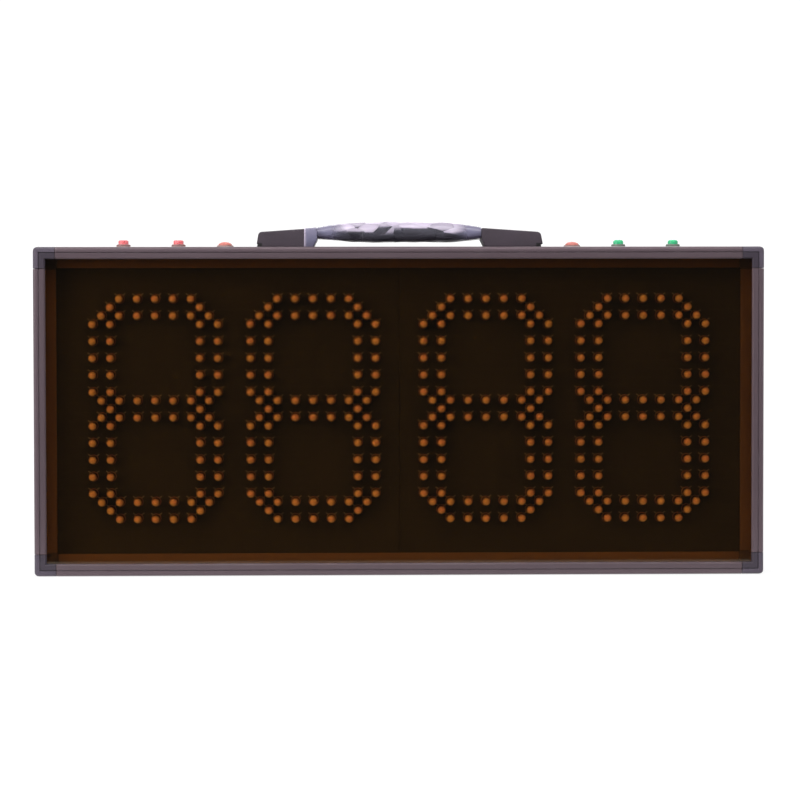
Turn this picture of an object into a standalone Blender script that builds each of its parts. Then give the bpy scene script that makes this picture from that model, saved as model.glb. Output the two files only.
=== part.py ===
"""Electronic substitution board: four LED figures behind a tinted window, in an aluminium frame.

The board stands on its bottom rail. X runs to the right, Y from the front to the back and Z up, and
the origin is the middle of the bottom face. Sizes are in millimetres, turned into metres by MM.
"""

from math import cos, pi, radians, sin

import bmesh
import bpy
from mathutils import Matrix, Vector

MM = 0.001

# Overall sizes of the frame
BOARD_WIDTH = 440 * MM
BOARD_HEIGHT = 198 * MM
BOARD_DEPTH = 50 * MM
FRONT = -BOARD_DEPTH / 2
BACK = BOARD_DEPTH / 2

# Gaps: SEAT between pieces that touch, RUN between pieces that slide
SEAT = 0.3 * MM
RUN = 0.4 * MM

# Sides of round pieces: caps and bodies, screws
ROUND_SIDES = 12
SCREW_SIDES = 8

# Rail extrusion, measured inwards from its outer face
WALL = 1.8 * MM
LIP_WIDTH = 7.35 * MM
LIP_THICKNESS = 1.8 * MM
LIP_BEVEL_WIDTH = 0.75 * MM
LIP_BEVEL_DEPTH = 1.1 * MM
SHOULDER_RADIUS = 2.0 * MM
SHOULDER_STEPS = 3
GROOVE_PLACE = 3.5 * MM
GROOVE_HALF = 0.3 * MM
GROOVE_DEPTH = 0.6 * MM
WINDOW_RIB_REACH = 5.0 * MM
WINDOW_RIB_THICKNESS = 1.2 * MM
BOARD_RIB_REACH = 12.4 * MM
BOARD_RIB_THICKNESS = 1.5 * MM
REAR_RIB_REACH = 11.0 * MM
REAR_RIB_THICKNESS = 2.3 * MM

# Moulded corners
CORNER_LEG = 13.0 * MM
CORNER_RADIUS = 3.0 * MM
CORNER_STEPS = 4
SPIGOT_LENGTH = 14.0 * MM
SPIGOT_THICKNESS = 3.0 * MM

# Window, circuit boards and rear panel
WINDOW_THICKNESS = 3.0 * MM
WINDOW_CORNER_RADIUS = 2.0 * MM
CIRCUIT_THICKNESS = 1.6 * MM
PANEL_THICKNESS = 2.0 * MM
PANEL_CORNER_RADIUS = 1.0 * MM
PANEL_SCREW_INSET = 7.2 * MM

# LED lamps, on a grid of half steps
LAMP_RADIUS = 2.5 * MM
LAMP_HEIGHT = 8.6 * MM
LAMP_DOME_HEIGHT = 2.0 * MM
LAMP_SIDES = 5
LAMP_TO_WINDOW = 0.9 * MM
LAMP_SINK = 0.5 * MM
STEP_ACROSS = 5.40 * MM
STEP_UP = 5.08 * MM
FIGURE_PLACES = (52.3 * MM, 147.6 * MM)
FIGURES_ABOVE_MIDDLE = 0.7 * MM

# Push buttons on the top rail, from the middle outwards
DOME_PLACE = 106.0 * MM
BUTTON_PLACES = (134.4 * MM, 167.9 * MM)
BUTTON_TRAVEL = 1.2 * MM
DOME_TRAVEL = 0.6 * MM
TRAVEL_SPARE = 0.1 * MM
THREAD_RADIUS = 3.5 * MM
THREAD_LENGTH = 12.0 * MM
STEM_RADIUS = 1.5 * MM
STEM_LENGTH = 8.0 * MM
NUT_WALL = 1.1 * MM
NUT_THICKNESS = 2.2 * MM
BUTTON = {"cap_radius": 3.1 * MM, "cap_top": 4.9 * MM, "flange_radius": THREAD_RADIUS + 0.8 * MM,
          "flange_height": 2.2 * MM, "recess": 1.4 * MM, "edge": 0.4 * MM, "travel": BUTTON_TRAVEL}
DOME = {"cap_radius": 4.25 * MM, "cap_top": 3.8 * MM, "flange_radius": THREAD_RADIUS + 1.6 * MM,
        "flange_height": 1.6 * MM, "recess": 0.8 * MM, "edge": 0.2 * MM, "travel": DOME_TRAVEL}

# A straight cap's softened edge: how far in, as a share of its radius, and how far below its top
CAP_SHOULDER = ((1.0, 1.0 * MM), (0.87, 0.3 * MM), (0.5, 0.0))

# Carrying handle, measured from the middle of the board and up from the top rail
HANDLE_HALF_LENGTH = 87.9 * MM
HANDLE_WIDTH = 24.0 * MM
MOUTH_PLACE = 50.0 * MM
MOUTH_UNDER = 5.0 * MM
CAP_FOOT_PLACE = 52.4 * MM
CAP_TOP_INNER = 11.8 * MM
CAP_TOP_OUTER = 9.5 * MM
CAP_WALL = 1.6 * MM
CAP_ROUNDING = 3.0 * MM
CAP_LEAN = 1.0 * MM
CAP_EDGE = 1.0 * MM
NOTCH_DEPTH = 1.6 * MM
NOTCH_HEIGHT = 1.5 * MM
BASE_THICKNESS = 1.8 * MM
GRIP_HALF_LENGTH = 22.0 * MM
GRIP_TOP_MIDDLE = 15.0 * MM
GRIP_TOP_END = 11.7 * MM
GRIP_UNDER_MIDDLE = 4.9 * MM
GRIP_UNDER_END = 6.0 * MM
GRIP_HALF_WIDTH_MIDDLE = 11.0 * MM
GRIP_HALF_WIDTH_END = 9.4 * MM
GRIP_SQUARENESS = 2.6
GRIP_SIDES = 12
TONGUE_TOP = 8.1 * MM
TONGUE_THICKNESS = 2.2 * MM
TONGUE_UNDER = TONGUE_TOP - TONGUE_THICKNESS
TONGUE_WIDTH = 16.0 * MM
TONGUE_LENGTH = 24.0 * MM
SLOT_LENGTH = 12.0 * MM
POST_RADIUS = 2.0 * MM
POST_PLACE = 66.0 * MM
FILM_GAP = 0.3 * MM
FILM_THICKNESS = 0.4 * MM
FILM_HALF_LENGTH = 49.2 * MM
FILM_STEPS = 8
HANDLE_SCREW_PLACES = (58.5 * MM, 80.5 * MM)

# Screws
SCREW_RADIUS = 1.5 * MM
SCREW_HEAD_RADIUS = 3.0 * MM
SCREW_HEAD_HEIGHT = 1.9 * MM
SCREW_EDGE_HEIGHT = 0.9 * MM
SCREW_LENGTH = 8.0 * MM
COUNTERSUNK_HEAD_HEIGHT = 1.3 * MM
COUNTERSUNK_HEAD_RADIUS = 2.8 * MM

# Charging socket and power switch on the rear panel
SOCKET_PLACE = Vector((138 * MM, 42 * MM))
SOCKET_THREAD_RADIUS = 4.0 * MM
SOCKET_FLANGE_RADIUS = 5.6 * MM
SOCKET_FLANGE_HEIGHT = 1.6 * MM
SOCKET_LENGTH = 13.0 * MM
SOCKET_BORE_RADIUS = 2.9 * MM
SOCKET_BORE_DEPTH = 9.5 * MM
SOCKET_PIN_RADIUS = 1.0 * MM
SOCKET_NUT_FLAT = 11.0 * MM
SWITCH_PLACE = Vector((168 * MM, 42 * MM))
SWITCH_BEZEL = (15.0 * MM, 21.0 * MM, 1.8 * MM)
SWITCH_BEZEL_RADIUS = 1.5 * MM
SWITCH_BODY = (12.6 * MM, 18.6 * MM, 13.0 * MM)
SWITCH_POCKET_DEPTH = 7.0 * MM
ROCKER_HALF_WIDTH = 4.6 * MM
ROCKER_HALF_HEIGHT = 7.7 * MM
ROCKER_SWING = 1.0 * MM
ROCKER_TIP = 3.0 * MM
ROCKER_DIP = 1.4 * MM
ROCKER_SKIRT = -2.6 * MM
ROCKER_BACK_RADIUS = 4.6 * MM
ROCKER_TILT = radians(10)
PIVOT_RADIUS = 1.0 * MM
PIVOT_REACH = 1.0 * MM

# Inner pieces
BRACE_HALF_WIDTH = 10.0 * MM
BRACE_THICKNESS = 2.0 * MM
BRACE_PILLAR_RADIUS = 3.0 * MM
BRACE_PILLAR_HEIGHTS = (55 * MM, 143 * MM)
CONTROL_SIZE = (100 * MM, 60 * MM)
CONTROL_PLACE = Vector((76 * MM, 112 * MM))
STANDOFF_HEIGHT = 8.0 * MM
STANDOFF_RADIUS = 2.6 * MM
STANDOFF_INSET = 5.0 * MM
CELL_RADIUS = 9.3 * MM
CELL_COUNT = 3
CELL_LENGTH = 67.0 * MM
BATTERY_PLACE = Vector((-84 * MM, 72 * MM))
TRAY_WALL = 1.6 * MM
TRAY_RIM = 9.0 * MM
TRAY_CORNER_RADIUS = 2.0 * MM
CABLE_WIDTH = 14.0 * MM
CABLE_THICKNESS = 1.0 * MM
CABLE_STEPS = 8
CONNECTOR_WIDTH = 6.0 * MM
CONNECTOR_HEIGHT = 18.0 * MM
CONNECTOR_DEPTH = 6.0 * MM
CONNECTOR_DROP = 14.0 * MM
DISPLAY_CONNECTORS = {"left": -38 * MM, "right": 116 * MM}
CONTROL_CONNECTORS = {"left": 42 * MM, "right": 88 * MM}
TERMINAL_PLACE = 45.0 * MM
TERMINAL_HEIGHT = 18.0 * MM
TERMINAL_SIZE = Vector((8, 12, 8)) * MM
LEAD_RADIUS = 1.2 * MM
LEAD_STEPS = 8
BATTERY_LEAD_FORWARD = 4.0 * MM
BATTERY_LEAD_PULL = 30 * MM
SWITCH_LEAD_PULL = 20 * MM
TERMINAL_PULL = 45 * MM

# Depths worked out from the rail section
WINDOW_FRONT = FRONT + LIP_THICKNESS + SEAT
WINDOW_BACK = WINDOW_FRONT + WINDOW_THICKNESS
WINDOW_RIB_FRONT = WINDOW_BACK + SEAT
CIRCUIT_FRONT = WINDOW_BACK + LAMP_TO_WINDOW + LAMP_HEIGHT
CIRCUIT_BACK = CIRCUIT_FRONT + CIRCUIT_THICKNESS
BOARD_RIB_BACK = CIRCUIT_FRONT - SEAT
PANEL_FRONT = BACK - PANEL_THICKNESS
REAR_RIB_BACK = PANEL_FRONT - SEAT
REAR_RIB_FRONT = REAR_RIB_BACK - REAR_RIB_THICKNESS


def clear_scene():
    for item in list(bpy.data.objects):
        bpy.data.objects.remove(item)


def material(name, colour, roughness, metallic=0.0, transmission=0.0):
    made = bpy.data.materials.new(name)
    made.use_nodes = True
    shader = made.node_tree.nodes["Principled BSDF"]
    shader.inputs["Base Color"].default_value = (*colour, 1)
    shader.inputs["Roughness"].default_value = roughness
    shader.inputs["Metallic"].default_value = metallic
    shader.inputs["Transmission Weight"].default_value = transmission
    made.diffuse_color = (*colour, 1)
    return made


def mesh_from(name, bm):
    """The bmesh as a mesh whose faces point out and whose round sides are smooth."""
    bmesh.ops.recalc_face_normals(bm, faces=bm.faces)
    mesh = bpy.data.meshes.new(name)
    bm.to_mesh(mesh)
    bm.free()
    mesh.shade_smooth()
    mesh.set_sharp_from_angle(angle=radians(35))
    return mesh


def place(name, mesh, finish, location=(0, 0, 0), turn=0.0, parent=None):
    """A piece at its location, turned about the front-to-back axis."""
    piece = bpy.data.objects.new(name, mesh)
    piece.location = location
    piece.rotation_euler = (0, turn, 0)
    piece.parent = parent
    bpy.context.scene.collection.objects.link(piece)
    if not mesh.materials:
        mesh.materials.append(finish)
    return piece


def helper(mesh, location=(0, 0, 0)):
    """A cutter, or a shape that a Boolean joins to its piece: it is no piece itself."""
    shape = bpy.data.objects.new("helper_" + mesh.name, mesh)
    shape.location = location
    shape.hide_render = True
    shape.display_type = "WIRE"
    bpy.context.scene.collection.objects.link(shape)
    return shape


def boolean(piece, shape, operation):
    modifier = piece.modifiers.new(operation.lower(), "BOOLEAN")
    modifier.operation = operation
    modifier.solver = "EXACT"
    modifier.object = shape


def cut(piece, *shapes):
    for shape in shapes:
        boolean(piece, shape, "DIFFERENCE")


def join(piece, *shapes):
    for shape in shapes:
        boolean(piece, shape, "UNION")


def gathered(*copies):
    """One mesh of several, given as (mesh, place) pairs, so that one Boolean makes a piece's holes."""
    bm = bmesh.new()
    for mesh, at in copies:
        before = len(bm.verts)
        bm.from_mesh(mesh)
        bm.verts.ensure_lookup_table()
        bmesh.ops.translate(bm, vec=at, verts=bm.verts[before:])
    return mesh_from("gathered", bm)


def finished(piece):
    """The piece's evaluated mesh, for copies of it to share. The piece and its modifiers are dropped."""
    bpy.context.view_layer.update()
    graph = bpy.context.evaluated_depsgraph_get()
    mesh = bpy.data.meshes.new_from_object(piece.evaluated_get(graph))
    bpy.data.objects.remove(piece)
    return mesh


def arc(centre, radius, start, end, steps):
    """Points along an arc, with angles in degrees."""
    angles = [radians(start + (end - start) * step / steps) for step in range(steps + 1)]
    return [(centre[0] + radius * cos(a), centre[1] + radius * sin(a)) for a in angles]


def rounded_rectangle(width, height, radius, steps=3):
    x, y = width / 2 - radius, height / 2 - radius
    corners = ((x, y, 0), (-x, y, 90), (-x, -y, 180), (x, -y, 270))
    return [p for cx, cy, a in corners for p in arc((cx, cy), radius, a, a + 90, steps)]


def prism(outline, low, high, to_point):
    """A solid between two copies of an outline. to_point turns (a, b, level) into a point."""
    bm = bmesh.new()
    rings = [[bm.verts.new(to_point(a, b, level)) for a, b in outline] for level in (low, high)]
    bm.faces.new(rings[0])
    bm.faces.new(rings[1])
    for i in range(len(outline)):
        j = (i + 1) % len(outline)
        bm.faces.new((rings[0][i], rings[0][j], rings[1][j], rings[1][i]))
    return bm


def across(a, b, level):
    """An outline in the X-Z plane, with its levels running front to back."""
    return Vector((a, level, b))


def upright(a, b, level):
    """An outline in the X-Y plane, with its levels running up."""
    return Vector((a, b, level))


def sideways(a, b, level):
    """An outline in the Y-Z plane, with its levels running along X."""
    return Vector((level, a, b))


def block(low, high):
    """A box between two corners."""
    outline = [(low[0], low[1]), (high[0], low[1]), (high[0], high[1]), (low[0], high[1])]
    return mesh_from("block", prism(outline, low[2], high[2], upright))


def turned(profile, sides, along_y=False, start=0.0):
    """A solid of revolution about Z, or about Y. The profile runs from axis to axis as (radius, height)."""
    bm = bmesh.new()
    rings = []
    for radius, height in profile:
        if radius == 0:
            rings.append([bm.verts.new((0, 0, height))])
            continue
        angles = [start + 2 * pi * i / sides for i in range(sides)]
        rings.append([bm.verts.new((radius * cos(a), radius * sin(a), height)) for a in angles])
    for lower, upper in zip(rings, rings[1:]):
        for i in range(sides):
            j = (i + 1) % sides
            corners = [lower[i % len(lower)], lower[j % len(lower)]]
            corners += [upper[j % len(upper)], upper[i % len(upper)]]
            bm.faces.new(list(dict.fromkeys(corners)))
    if along_y:
        bm.transform(Matrix.Rotation(radians(-90), 4, "X"))
    return mesh_from("turned", bm)


def rod(radius, low, high, sides=12, along_y=False, start=0.0):
    """A plain cylinder."""
    return turned([(0, low), (radius, low), (radius, high), (0, high)], sides, along_y, start)


def loft(rings):
    """A solid skinned over rings that have as many points each."""
    bm = bmesh.new()
    loops = [[bm.verts.new(point) for point in ring] for ring in rings]
    bm.faces.new(loops[0])
    bm.faces.new(loops[-1])
    for first, second in zip(loops, loops[1:]):
        for i in range(len(first)):
            j = (i + 1) % len(first)
            bm.faces.new((first[i], first[j], second[j], second[i]))
    return bm


# Frame


def rail_section():
    """The extrusion's outline as (inwards, depth): a channel with a front lip and three ribs."""
    points = [(0, BACK)]
    points += arc((SHOULDER_RADIUS, FRONT + SHOULDER_RADIUS), SHOULDER_RADIUS, 180, 270, SHOULDER_STEPS)
    points += [
        (GROOVE_PLACE - GROOVE_HALF, FRONT),
        (GROOVE_PLACE - GROOVE_HALF, FRONT + GROOVE_DEPTH),
        (GROOVE_PLACE + GROOVE_HALF, FRONT + GROOVE_DEPTH),
        (GROOVE_PLACE + GROOVE_HALF, FRONT),
        (LIP_WIDTH - LIP_BEVEL_WIDTH, FRONT),
        (LIP_WIDTH, FRONT + LIP_BEVEL_DEPTH),
        (LIP_WIDTH, FRONT + LIP_THICKNESS),
        (WALL, FRONT + LIP_THICKNESS),
    ]
    ribs = (
        (WINDOW_RIB_REACH, WINDOW_RIB_FRONT, WINDOW_RIB_FRONT + WINDOW_RIB_THICKNESS),
        (BOARD_RIB_REACH, BOARD_RIB_BACK - BOARD_RIB_THICKNESS, BOARD_RIB_BACK),
        (REAR_RIB_REACH, REAR_RIB_FRONT, REAR_RIB_BACK),
    )
    for reach, rib_front, rib_back in ribs:
        points += [(WALL, rib_front), (reach, rib_front), (reach, rib_back), (WALL, rib_back)]
    return points + [(WALL, BACK)]


def rail_mesh(length):
    """A rail along X, with its outer face at Z = 0 and facing up."""
    half = length / 2
    return mesh_from("rail", prism(rail_section(), -half, half, lambda u, y, x: Vector((x, y, -u))))


def corner_mesh(finish):
    """The top right corner, with the frame's outer corner at the origin: the rail's section taken
    round a mitre, its outer edge rounded, and a flat spigot on each leg that plugs into its rail."""
    section = rail_section()
    rings = [
        [Vector((-CORNER_LEG, y, -u)) for u, y in section],
        [Vector((-u, y, -u)) for u, y in section],
        [Vector((-u, y, -CORNER_LEG)) for u, y in section],
    ]
    corner = place("corner", mesh_from("corner", loft(rings)), finish)
    radius = CORNER_RADIUS
    outside = 1 * MM
    nibble = [(-radius, outside), (outside, outside), (outside, -radius)]
    nibble += arc((-radius, -radius), radius, 0, 90, CORNER_STEPS)
    cut(corner, helper(mesh_from("nibble", prism(nibble, FRONT - outside, BACK + outside, across))))
    outer = WALL + SEAT
    inner = outer + SPIGOT_THICKNESS
    tip = CORNER_LEG + SPIGOT_LENGTH
    low, high = CIRCUIT_BACK + SEAT, REAR_RIB_FRONT - SEAT
    root = WALL / 2
    spigots = [(-tip, -outer), (-inner, -outer), (-inner, -root), (-root, -root), (-root, -inner)]
    spigots += [(-outer, -inner), (-outer, -tip), (-inner, -tip), (-inner, -inner), (-tip, -inner)]
    join(corner, helper(mesh_from("spigots", prism(spigots, low, high, across))))
    screw_hole = rod(SCREW_RADIUS + SEAT, high, BACK, SCREW_SIDES, along_y=True)
    cut(corner, helper(screw_hole, (-PANEL_SCREW_INSET, 0, -PANEL_SCREW_INSET)))
    return finished(corner)


def make_frame(aluminium, black):
    long_rail = rail_mesh(BOARD_WIDTH - 2 * (CORNER_LEG + SEAT))
    short_rail = rail_mesh(BOARD_HEIGHT - 2 * (CORNER_LEG + SEAT))
    half_width, half_height = BOARD_WIDTH / 2, BOARD_HEIGHT / 2
    top = place("top_rail", long_rail, aluminium, (0, 0, BOARD_HEIGHT))
    bottom = place("bottom_rail", long_rail, aluminium, (0, 0, 0), pi)
    place("right_rail", short_rail, aluminium, (half_width, 0, half_height), pi / 2)
    place("left_rail", short_rail, aluminium, (-half_width, 0, half_height), -pi / 2)
    corner = corner_mesh(black)
    place("corner_top_right", corner, black, (half_width, 0, BOARD_HEIGHT))
    place("corner_bottom_right", corner, black, (half_width, 0, 0), pi / 2)
    place("corner_bottom_left", corner, black, (-half_width, 0, 0), pi)
    place("corner_top_left", corner, black, (-half_width, 0, BOARD_HEIGHT), -pi / 2)

    through = 2 * WALL
    button_hole = rod(THREAD_RADIUS + SEAT, -through, through, ROUND_SIDES)
    handle_hole = rod(SCREW_RADIUS + SEAT, -through, through, SCREW_SIDES)
    panel_hole = rod(SCREW_RADIUS + SEAT, REAR_RIB_FRONT - MM, BACK, SCREW_SIDES, along_y=True)
    holes = [(button_hole, (x, 0, 0)) for x in button_places()]
    holes += [(handle_hole, (x, 0, 0)) for x in handle_screw_places()]
    holes += [(panel_hole, (0, 0, -PANEL_SCREW_INSET))]
    cut(top, helper(gathered(*holes), (0, 0, BOARD_HEIGHT)))
    cut(bottom, helper(panel_hole, (0, 0, PANEL_SCREW_INSET)))


def button_places():
    outer = (DOME_PLACE, *BUTTON_PLACES)
    return [-x for x in reversed(outer)] + list(outer)


def handle_screw_places():
    return [-x for x in reversed(HANDLE_SCREW_PLACES)] + list(HANDLE_SCREW_PLACES)


# Window and display


def pane(width, height, front, back, radius):
    """A flat sheet across the board, centred in the frame."""
    outline = [(x, z + BOARD_HEIGHT / 2) for x, z in rounded_rectangle(width, height, radius)]
    return mesh_from("pane", prism(outline, front, back, across))


def make_window(acrylic):
    inset = 2 * (WALL + RUN)
    sheet = pane(BOARD_WIDTH - inset, BOARD_HEIGHT - inset, WINDOW_FRONT, WINDOW_BACK, WINDOW_CORNER_RADIUS)
    place("window", sheet, acrylic)


def figure_lamps():
    """Grid steps (across, up) of the 84 lamps that draw one figure 8, in bars two rows wide."""
    lamps = []
    for up, reach in ((13, 4), (11, 6), (1, 6), (-1, 6), (-11, 6), (-13, 4)):
        lamps += [(across_step, up) for across_step in range(-reach, reach + 1, 2)]
    for up in (10, 8, 6, 4, 2, -2, -4, -6, -8, -10):
        lamps += [(side, up) for side in (-7, -5, 5, 7)]
    return lamps + [(side, up) for up in (12, 0, -12) for side in (-5, 5)]


def lamp_cluster():
    """The lamps of a pair of figures about the pair's middle, their feet sunk in the circuit board."""
    shoulder = LAMP_HEIGHT - LAMP_DOME_HEIGHT
    profile = [(0, -LAMP_SINK), (LAMP_RADIUS, -LAMP_SINK), (LAMP_RADIUS, shoulder), (0, LAMP_HEIGHT)]
    lamp = turned(profile, LAMP_SIDES, along_y=True, start=-pi / 2)
    lamp.transform(Matrix.Rotation(pi, 4, "Z"))
    figures_apart = FIGURE_PLACES[1] - FIGURE_PLACES[0]
    lamps = []
    for figure in (-figures_apart / 2, figures_apart / 2):
        lamps += [(lamp, (figure + i * STEP_ACROSS, 0, k * STEP_UP)) for i, k in figure_lamps()]
    return gathered(*lamps)


def make_display(circuit):
    """Two circuit boards side by side, each with two figures of lamps and a cable connector on its back."""
    inset = WALL + RUN
    half = BOARD_WIDTH / 2 - inset
    lamps = lamp_cluster()
    lamps_height = BOARD_HEIGHT / 2 + FIGURES_ABOVE_MIDDLE
    pair_middle = sum(FIGURE_PLACES) / 2
    for side, name in ((-1, "left"), (1, "right")):
        low, high = sorted((side * SEAT / 2, side * half))
        sheet = block((low, CIRCUIT_FRONT, inset), (high, CIRCUIT_BACK, BOARD_HEIGHT - inset))
        board = place("display_board_" + name, sheet, circuit)
        join(board, helper(lamps, (side * pair_middle, CIRCUIT_FRONT, lamps_height)))
        plug = connector(CIRCUIT_BACK - LAMP_SINK, CIRCUIT_BACK + CONNECTOR_DEPTH)
        join(board, helper(plug, cable_start(name)))


def make_brace(steel):
    """A bar behind the joint of the two display boards, with two pillars that the rear panel presses on."""
    end = WALL + SEAT
    front = CIRCUIT_BACK + SEAT
    back = front + BRACE_THICKNESS
    bar = block((-BRACE_HALF_WIDTH, front, end), (BRACE_HALF_WIDTH, back, BOARD_HEIGHT - end))
    brace = place("centre_brace", bar, steel)
    pillar = rod(BRACE_PILLAR_RADIUS, (front + back) / 2, PANEL_FRONT - SEAT, SCREW_SIDES, along_y=True)
    join(brace, helper(gathered(*[(pillar, (0, 0, height)) for height in BRACE_PILLAR_HEIGHTS])))


# Rear panel and what it carries


def panel_screw_places():
    x, z = BOARD_WIDTH / 2 - PANEL_SCREW_INSET, BOARD_HEIGHT - PANEL_SCREW_INSET
    return [(side, height) for height in (PANEL_SCREW_INSET, z) for side in (-x, 0, x)]


def standoff_places():
    x, z = CONTROL_SIZE[0] / 2 - STANDOFF_INSET, CONTROL_SIZE[1] / 2 - STANDOFF_INSET
    return [CONTROL_PLACE + Vector((i * x, j * z)) for i in (-1, 1) for j in (-1, 1)]


def make_rear_panel(black, steel):
    inset = 2 * (WALL + SEAT)
    sheet = pane(BOARD_WIDTH - inset, BOARD_HEIGHT - inset, PANEL_FRONT, BACK, PANEL_CORNER_RADIUS)
    panel = place("rear_panel", sheet, black)
    standoff_front, standoff_root = PANEL_FRONT - STANDOFF_HEIGHT, PANEL_FRONT + PANEL_THICKNESS / 2
    standoff = rod(STANDOFF_RADIUS, standoff_front, standoff_root, SCREW_SIDES, along_y=True)
    join(panel, helper(gathered(*[(standoff, (x, 0, z)) for x, z in standoff_places()])))
    hole = rod(SCREW_RADIUS + SEAT, PANEL_FRONT - MM, BACK + MM, SCREW_SIDES, along_y=True)
    socket_hole = rod(SOCKET_THREAD_RADIUS + SEAT, PANEL_FRONT - MM, BACK + MM, ROUND_SIDES, along_y=True)
    half_width, half_height = SWITCH_BODY[0] / 2 + SEAT, SWITCH_BODY[1] / 2 + SEAT
    switch_hole = block((-half_width, PANEL_FRONT - MM, -half_height), (half_width, BACK + MM, half_height))
    holes = [(hole, (x, 0, z)) for x, z in panel_screw_places()]
    holes += [(socket_hole, (SOCKET_PLACE.x, 0, SOCKET_PLACE.y))]
    holes += [(switch_hole, (SWITCH_PLACE.x, 0, SWITCH_PLACE.y))]
    cut(panel, helper(gathered(*holes)))

    seat = BACK + SEAT
    edge, crown = seat + SCREW_EDGE_HEIGHT, seat + SCREW_HEAD_HEIGHT
    tip = seat - SCREW_LENGTH
    profile = [(0, tip), (SCREW_RADIUS, tip), (SCREW_RADIUS, seat)]
    profile += [(SCREW_HEAD_RADIUS, seat), (SCREW_HEAD_RADIUS, edge), (0, crown)]
    screw = turned(profile, SCREW_SIDES, along_y=True)
    for number, (x, z) in enumerate(panel_screw_places(), 1):
        place(f"panel_screw_{number}", screw, steel, (x, 0, z))


def make_control_board(circuit):
    """The control board: processor, two drivers, regulator, two terminals and two cable connectors."""
    back = PANEL_FRONT - STANDOFF_HEIGHT - SEAT
    front = back - CIRCUIT_THICKNESS
    half_width, half_height = CONTROL_SIZE[0] / 2, CONTROL_SIZE[1] / 2
    centre = (CONTROL_PLACE.x, 0, CONTROL_PLACE.y)
    sheet = block((-half_width, front, -half_height), (half_width, back, half_height))
    board = place("control_board", sheet, circuit, centre)
    components = [
        (Vector((0, 4 * MM)), Vector((14, 14, 2.5)) * MM),
        (Vector((-22 * MM, 14 * MM)), Vector((16, 8, 3)) * MM),
        (Vector((22 * MM, 14 * MM)), Vector((16, 8, 3)) * MM),
        (Vector((36 * MM, -18 * MM)), Vector((10, 8, 8)) * MM),
        (Vector((-TERMINAL_PLACE, TERMINAL_HEIGHT)), TERMINAL_SIZE),
        (Vector((TERMINAL_PLACE, TERMINAL_HEIGHT)), TERMINAL_SIZE),
    ]
    for at, (width, height, thickness) in components:
        low = (at.x - width / 2, front - thickness, at.y - height / 2)
        high = (at.x + width / 2, front + CIRCUIT_THICKNESS / 2, at.y + height / 2)
        join(board, helper(block(low, high), centre))
    plug = connector(front - CONNECTOR_DEPTH, front + CIRCUIT_THICKNESS / 2)
    for name in CONTROL_CONNECTORS:
        join(board, helper(plug, cable_end(name)))


def connector(front, back):
    """A plug's block between two depths."""
    x, z = CONNECTOR_WIDTH / 2, CONNECTOR_HEIGHT / 2
    return block((-x, front, -z), (x, back, z))


def cable_start(name):
    """The middle of a display board's connector."""
    return (DISPLAY_CONNECTORS[name], 0, CONTROL_PLACE.y - CONNECTOR_DROP)


def cable_end(name):
    """The middle of the control board's connector for that display board."""
    return (CONTROL_CONNECTORS[name], 0, CONTROL_PLACE.y - CONNECTOR_DROP)


def make_cables(cable):
    """Flat cables that ease from the display boards' connectors back to those of the control board."""
    half_width, half = CABLE_WIDTH / 2, CABLE_THICKNESS / 2
    start_depth = CIRCUIT_BACK + CONNECTOR_DEPTH + SEAT + half
    end_depth = PANEL_FRONT - STANDOFF_HEIGHT - SEAT - CIRCUIT_THICKNESS - CONNECTOR_DEPTH - SEAT - half
    for name in ("left", "right"):
        (x0, _, z), (x1, _, _) = cable_start(name), cable_end(name)
        overhang = CONNECTOR_WIDTH / 2 if x1 > x0 else -CONNECTOR_WIDTH / 2
        x0, x1 = x0 - overhang, x1 + overhang
        rings = []
        for step in range(CABLE_STEPS + 1):
            share = step / CABLE_STEPS
            x = x0 + (x1 - x0) * share
            y = start_depth + (end_depth - start_depth) * (1 - cos(pi * share)) / 2
            corners = ((-half, -half_width), (half, -half_width), (half, half_width), (-half, half_width))
            rings.append([Vector((x, y + a, z + b)) for a, b in corners])
        place("ribbon_cable_" + name, mesh_from("cable", loft(rings)), cable)


def lead(name, start, leaving, end, arriving, finish):
    """A round lead: a straight stub at each end and one smooth cubic curve that the pulls shape."""
    data = bpy.data.curves.new(name, "CURVE")
    data.dimensions = "3D"
    data.bevel_depth = LEAD_RADIUS
    data.bevel_resolution = 2
    data.use_fill_caps = True
    curve_start = start + leaving.normalized() * 2 * LEAD_RADIUS
    curve_end = end + arriving.normalized() * 2 * LEAD_RADIUS
    pulls = (curve_start, curve_start + leaving, curve_end + arriving, curve_end)
    route = [start]
    for step in range(LEAD_STEPS + 1):
        t = step / LEAD_STEPS
        weights = ((1 - t) ** 3, 3 * t * (1 - t) ** 2, 3 * t**2 * (1 - t), t**3)
        route.append(sum((pull * weight for pull, weight in zip(pulls, weights)), Vector()))
    route.append(end)
    spline = data.splines.new("POLY")
    spline.points.add(len(route) - 1)
    for point, place_of_it in zip(spline.points, route):
        point.co = (*place_of_it, 1)
    data.materials.append(finish)
    bpy.context.scene.collection.objects.link(bpy.data.objects.new(name, data))


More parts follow.
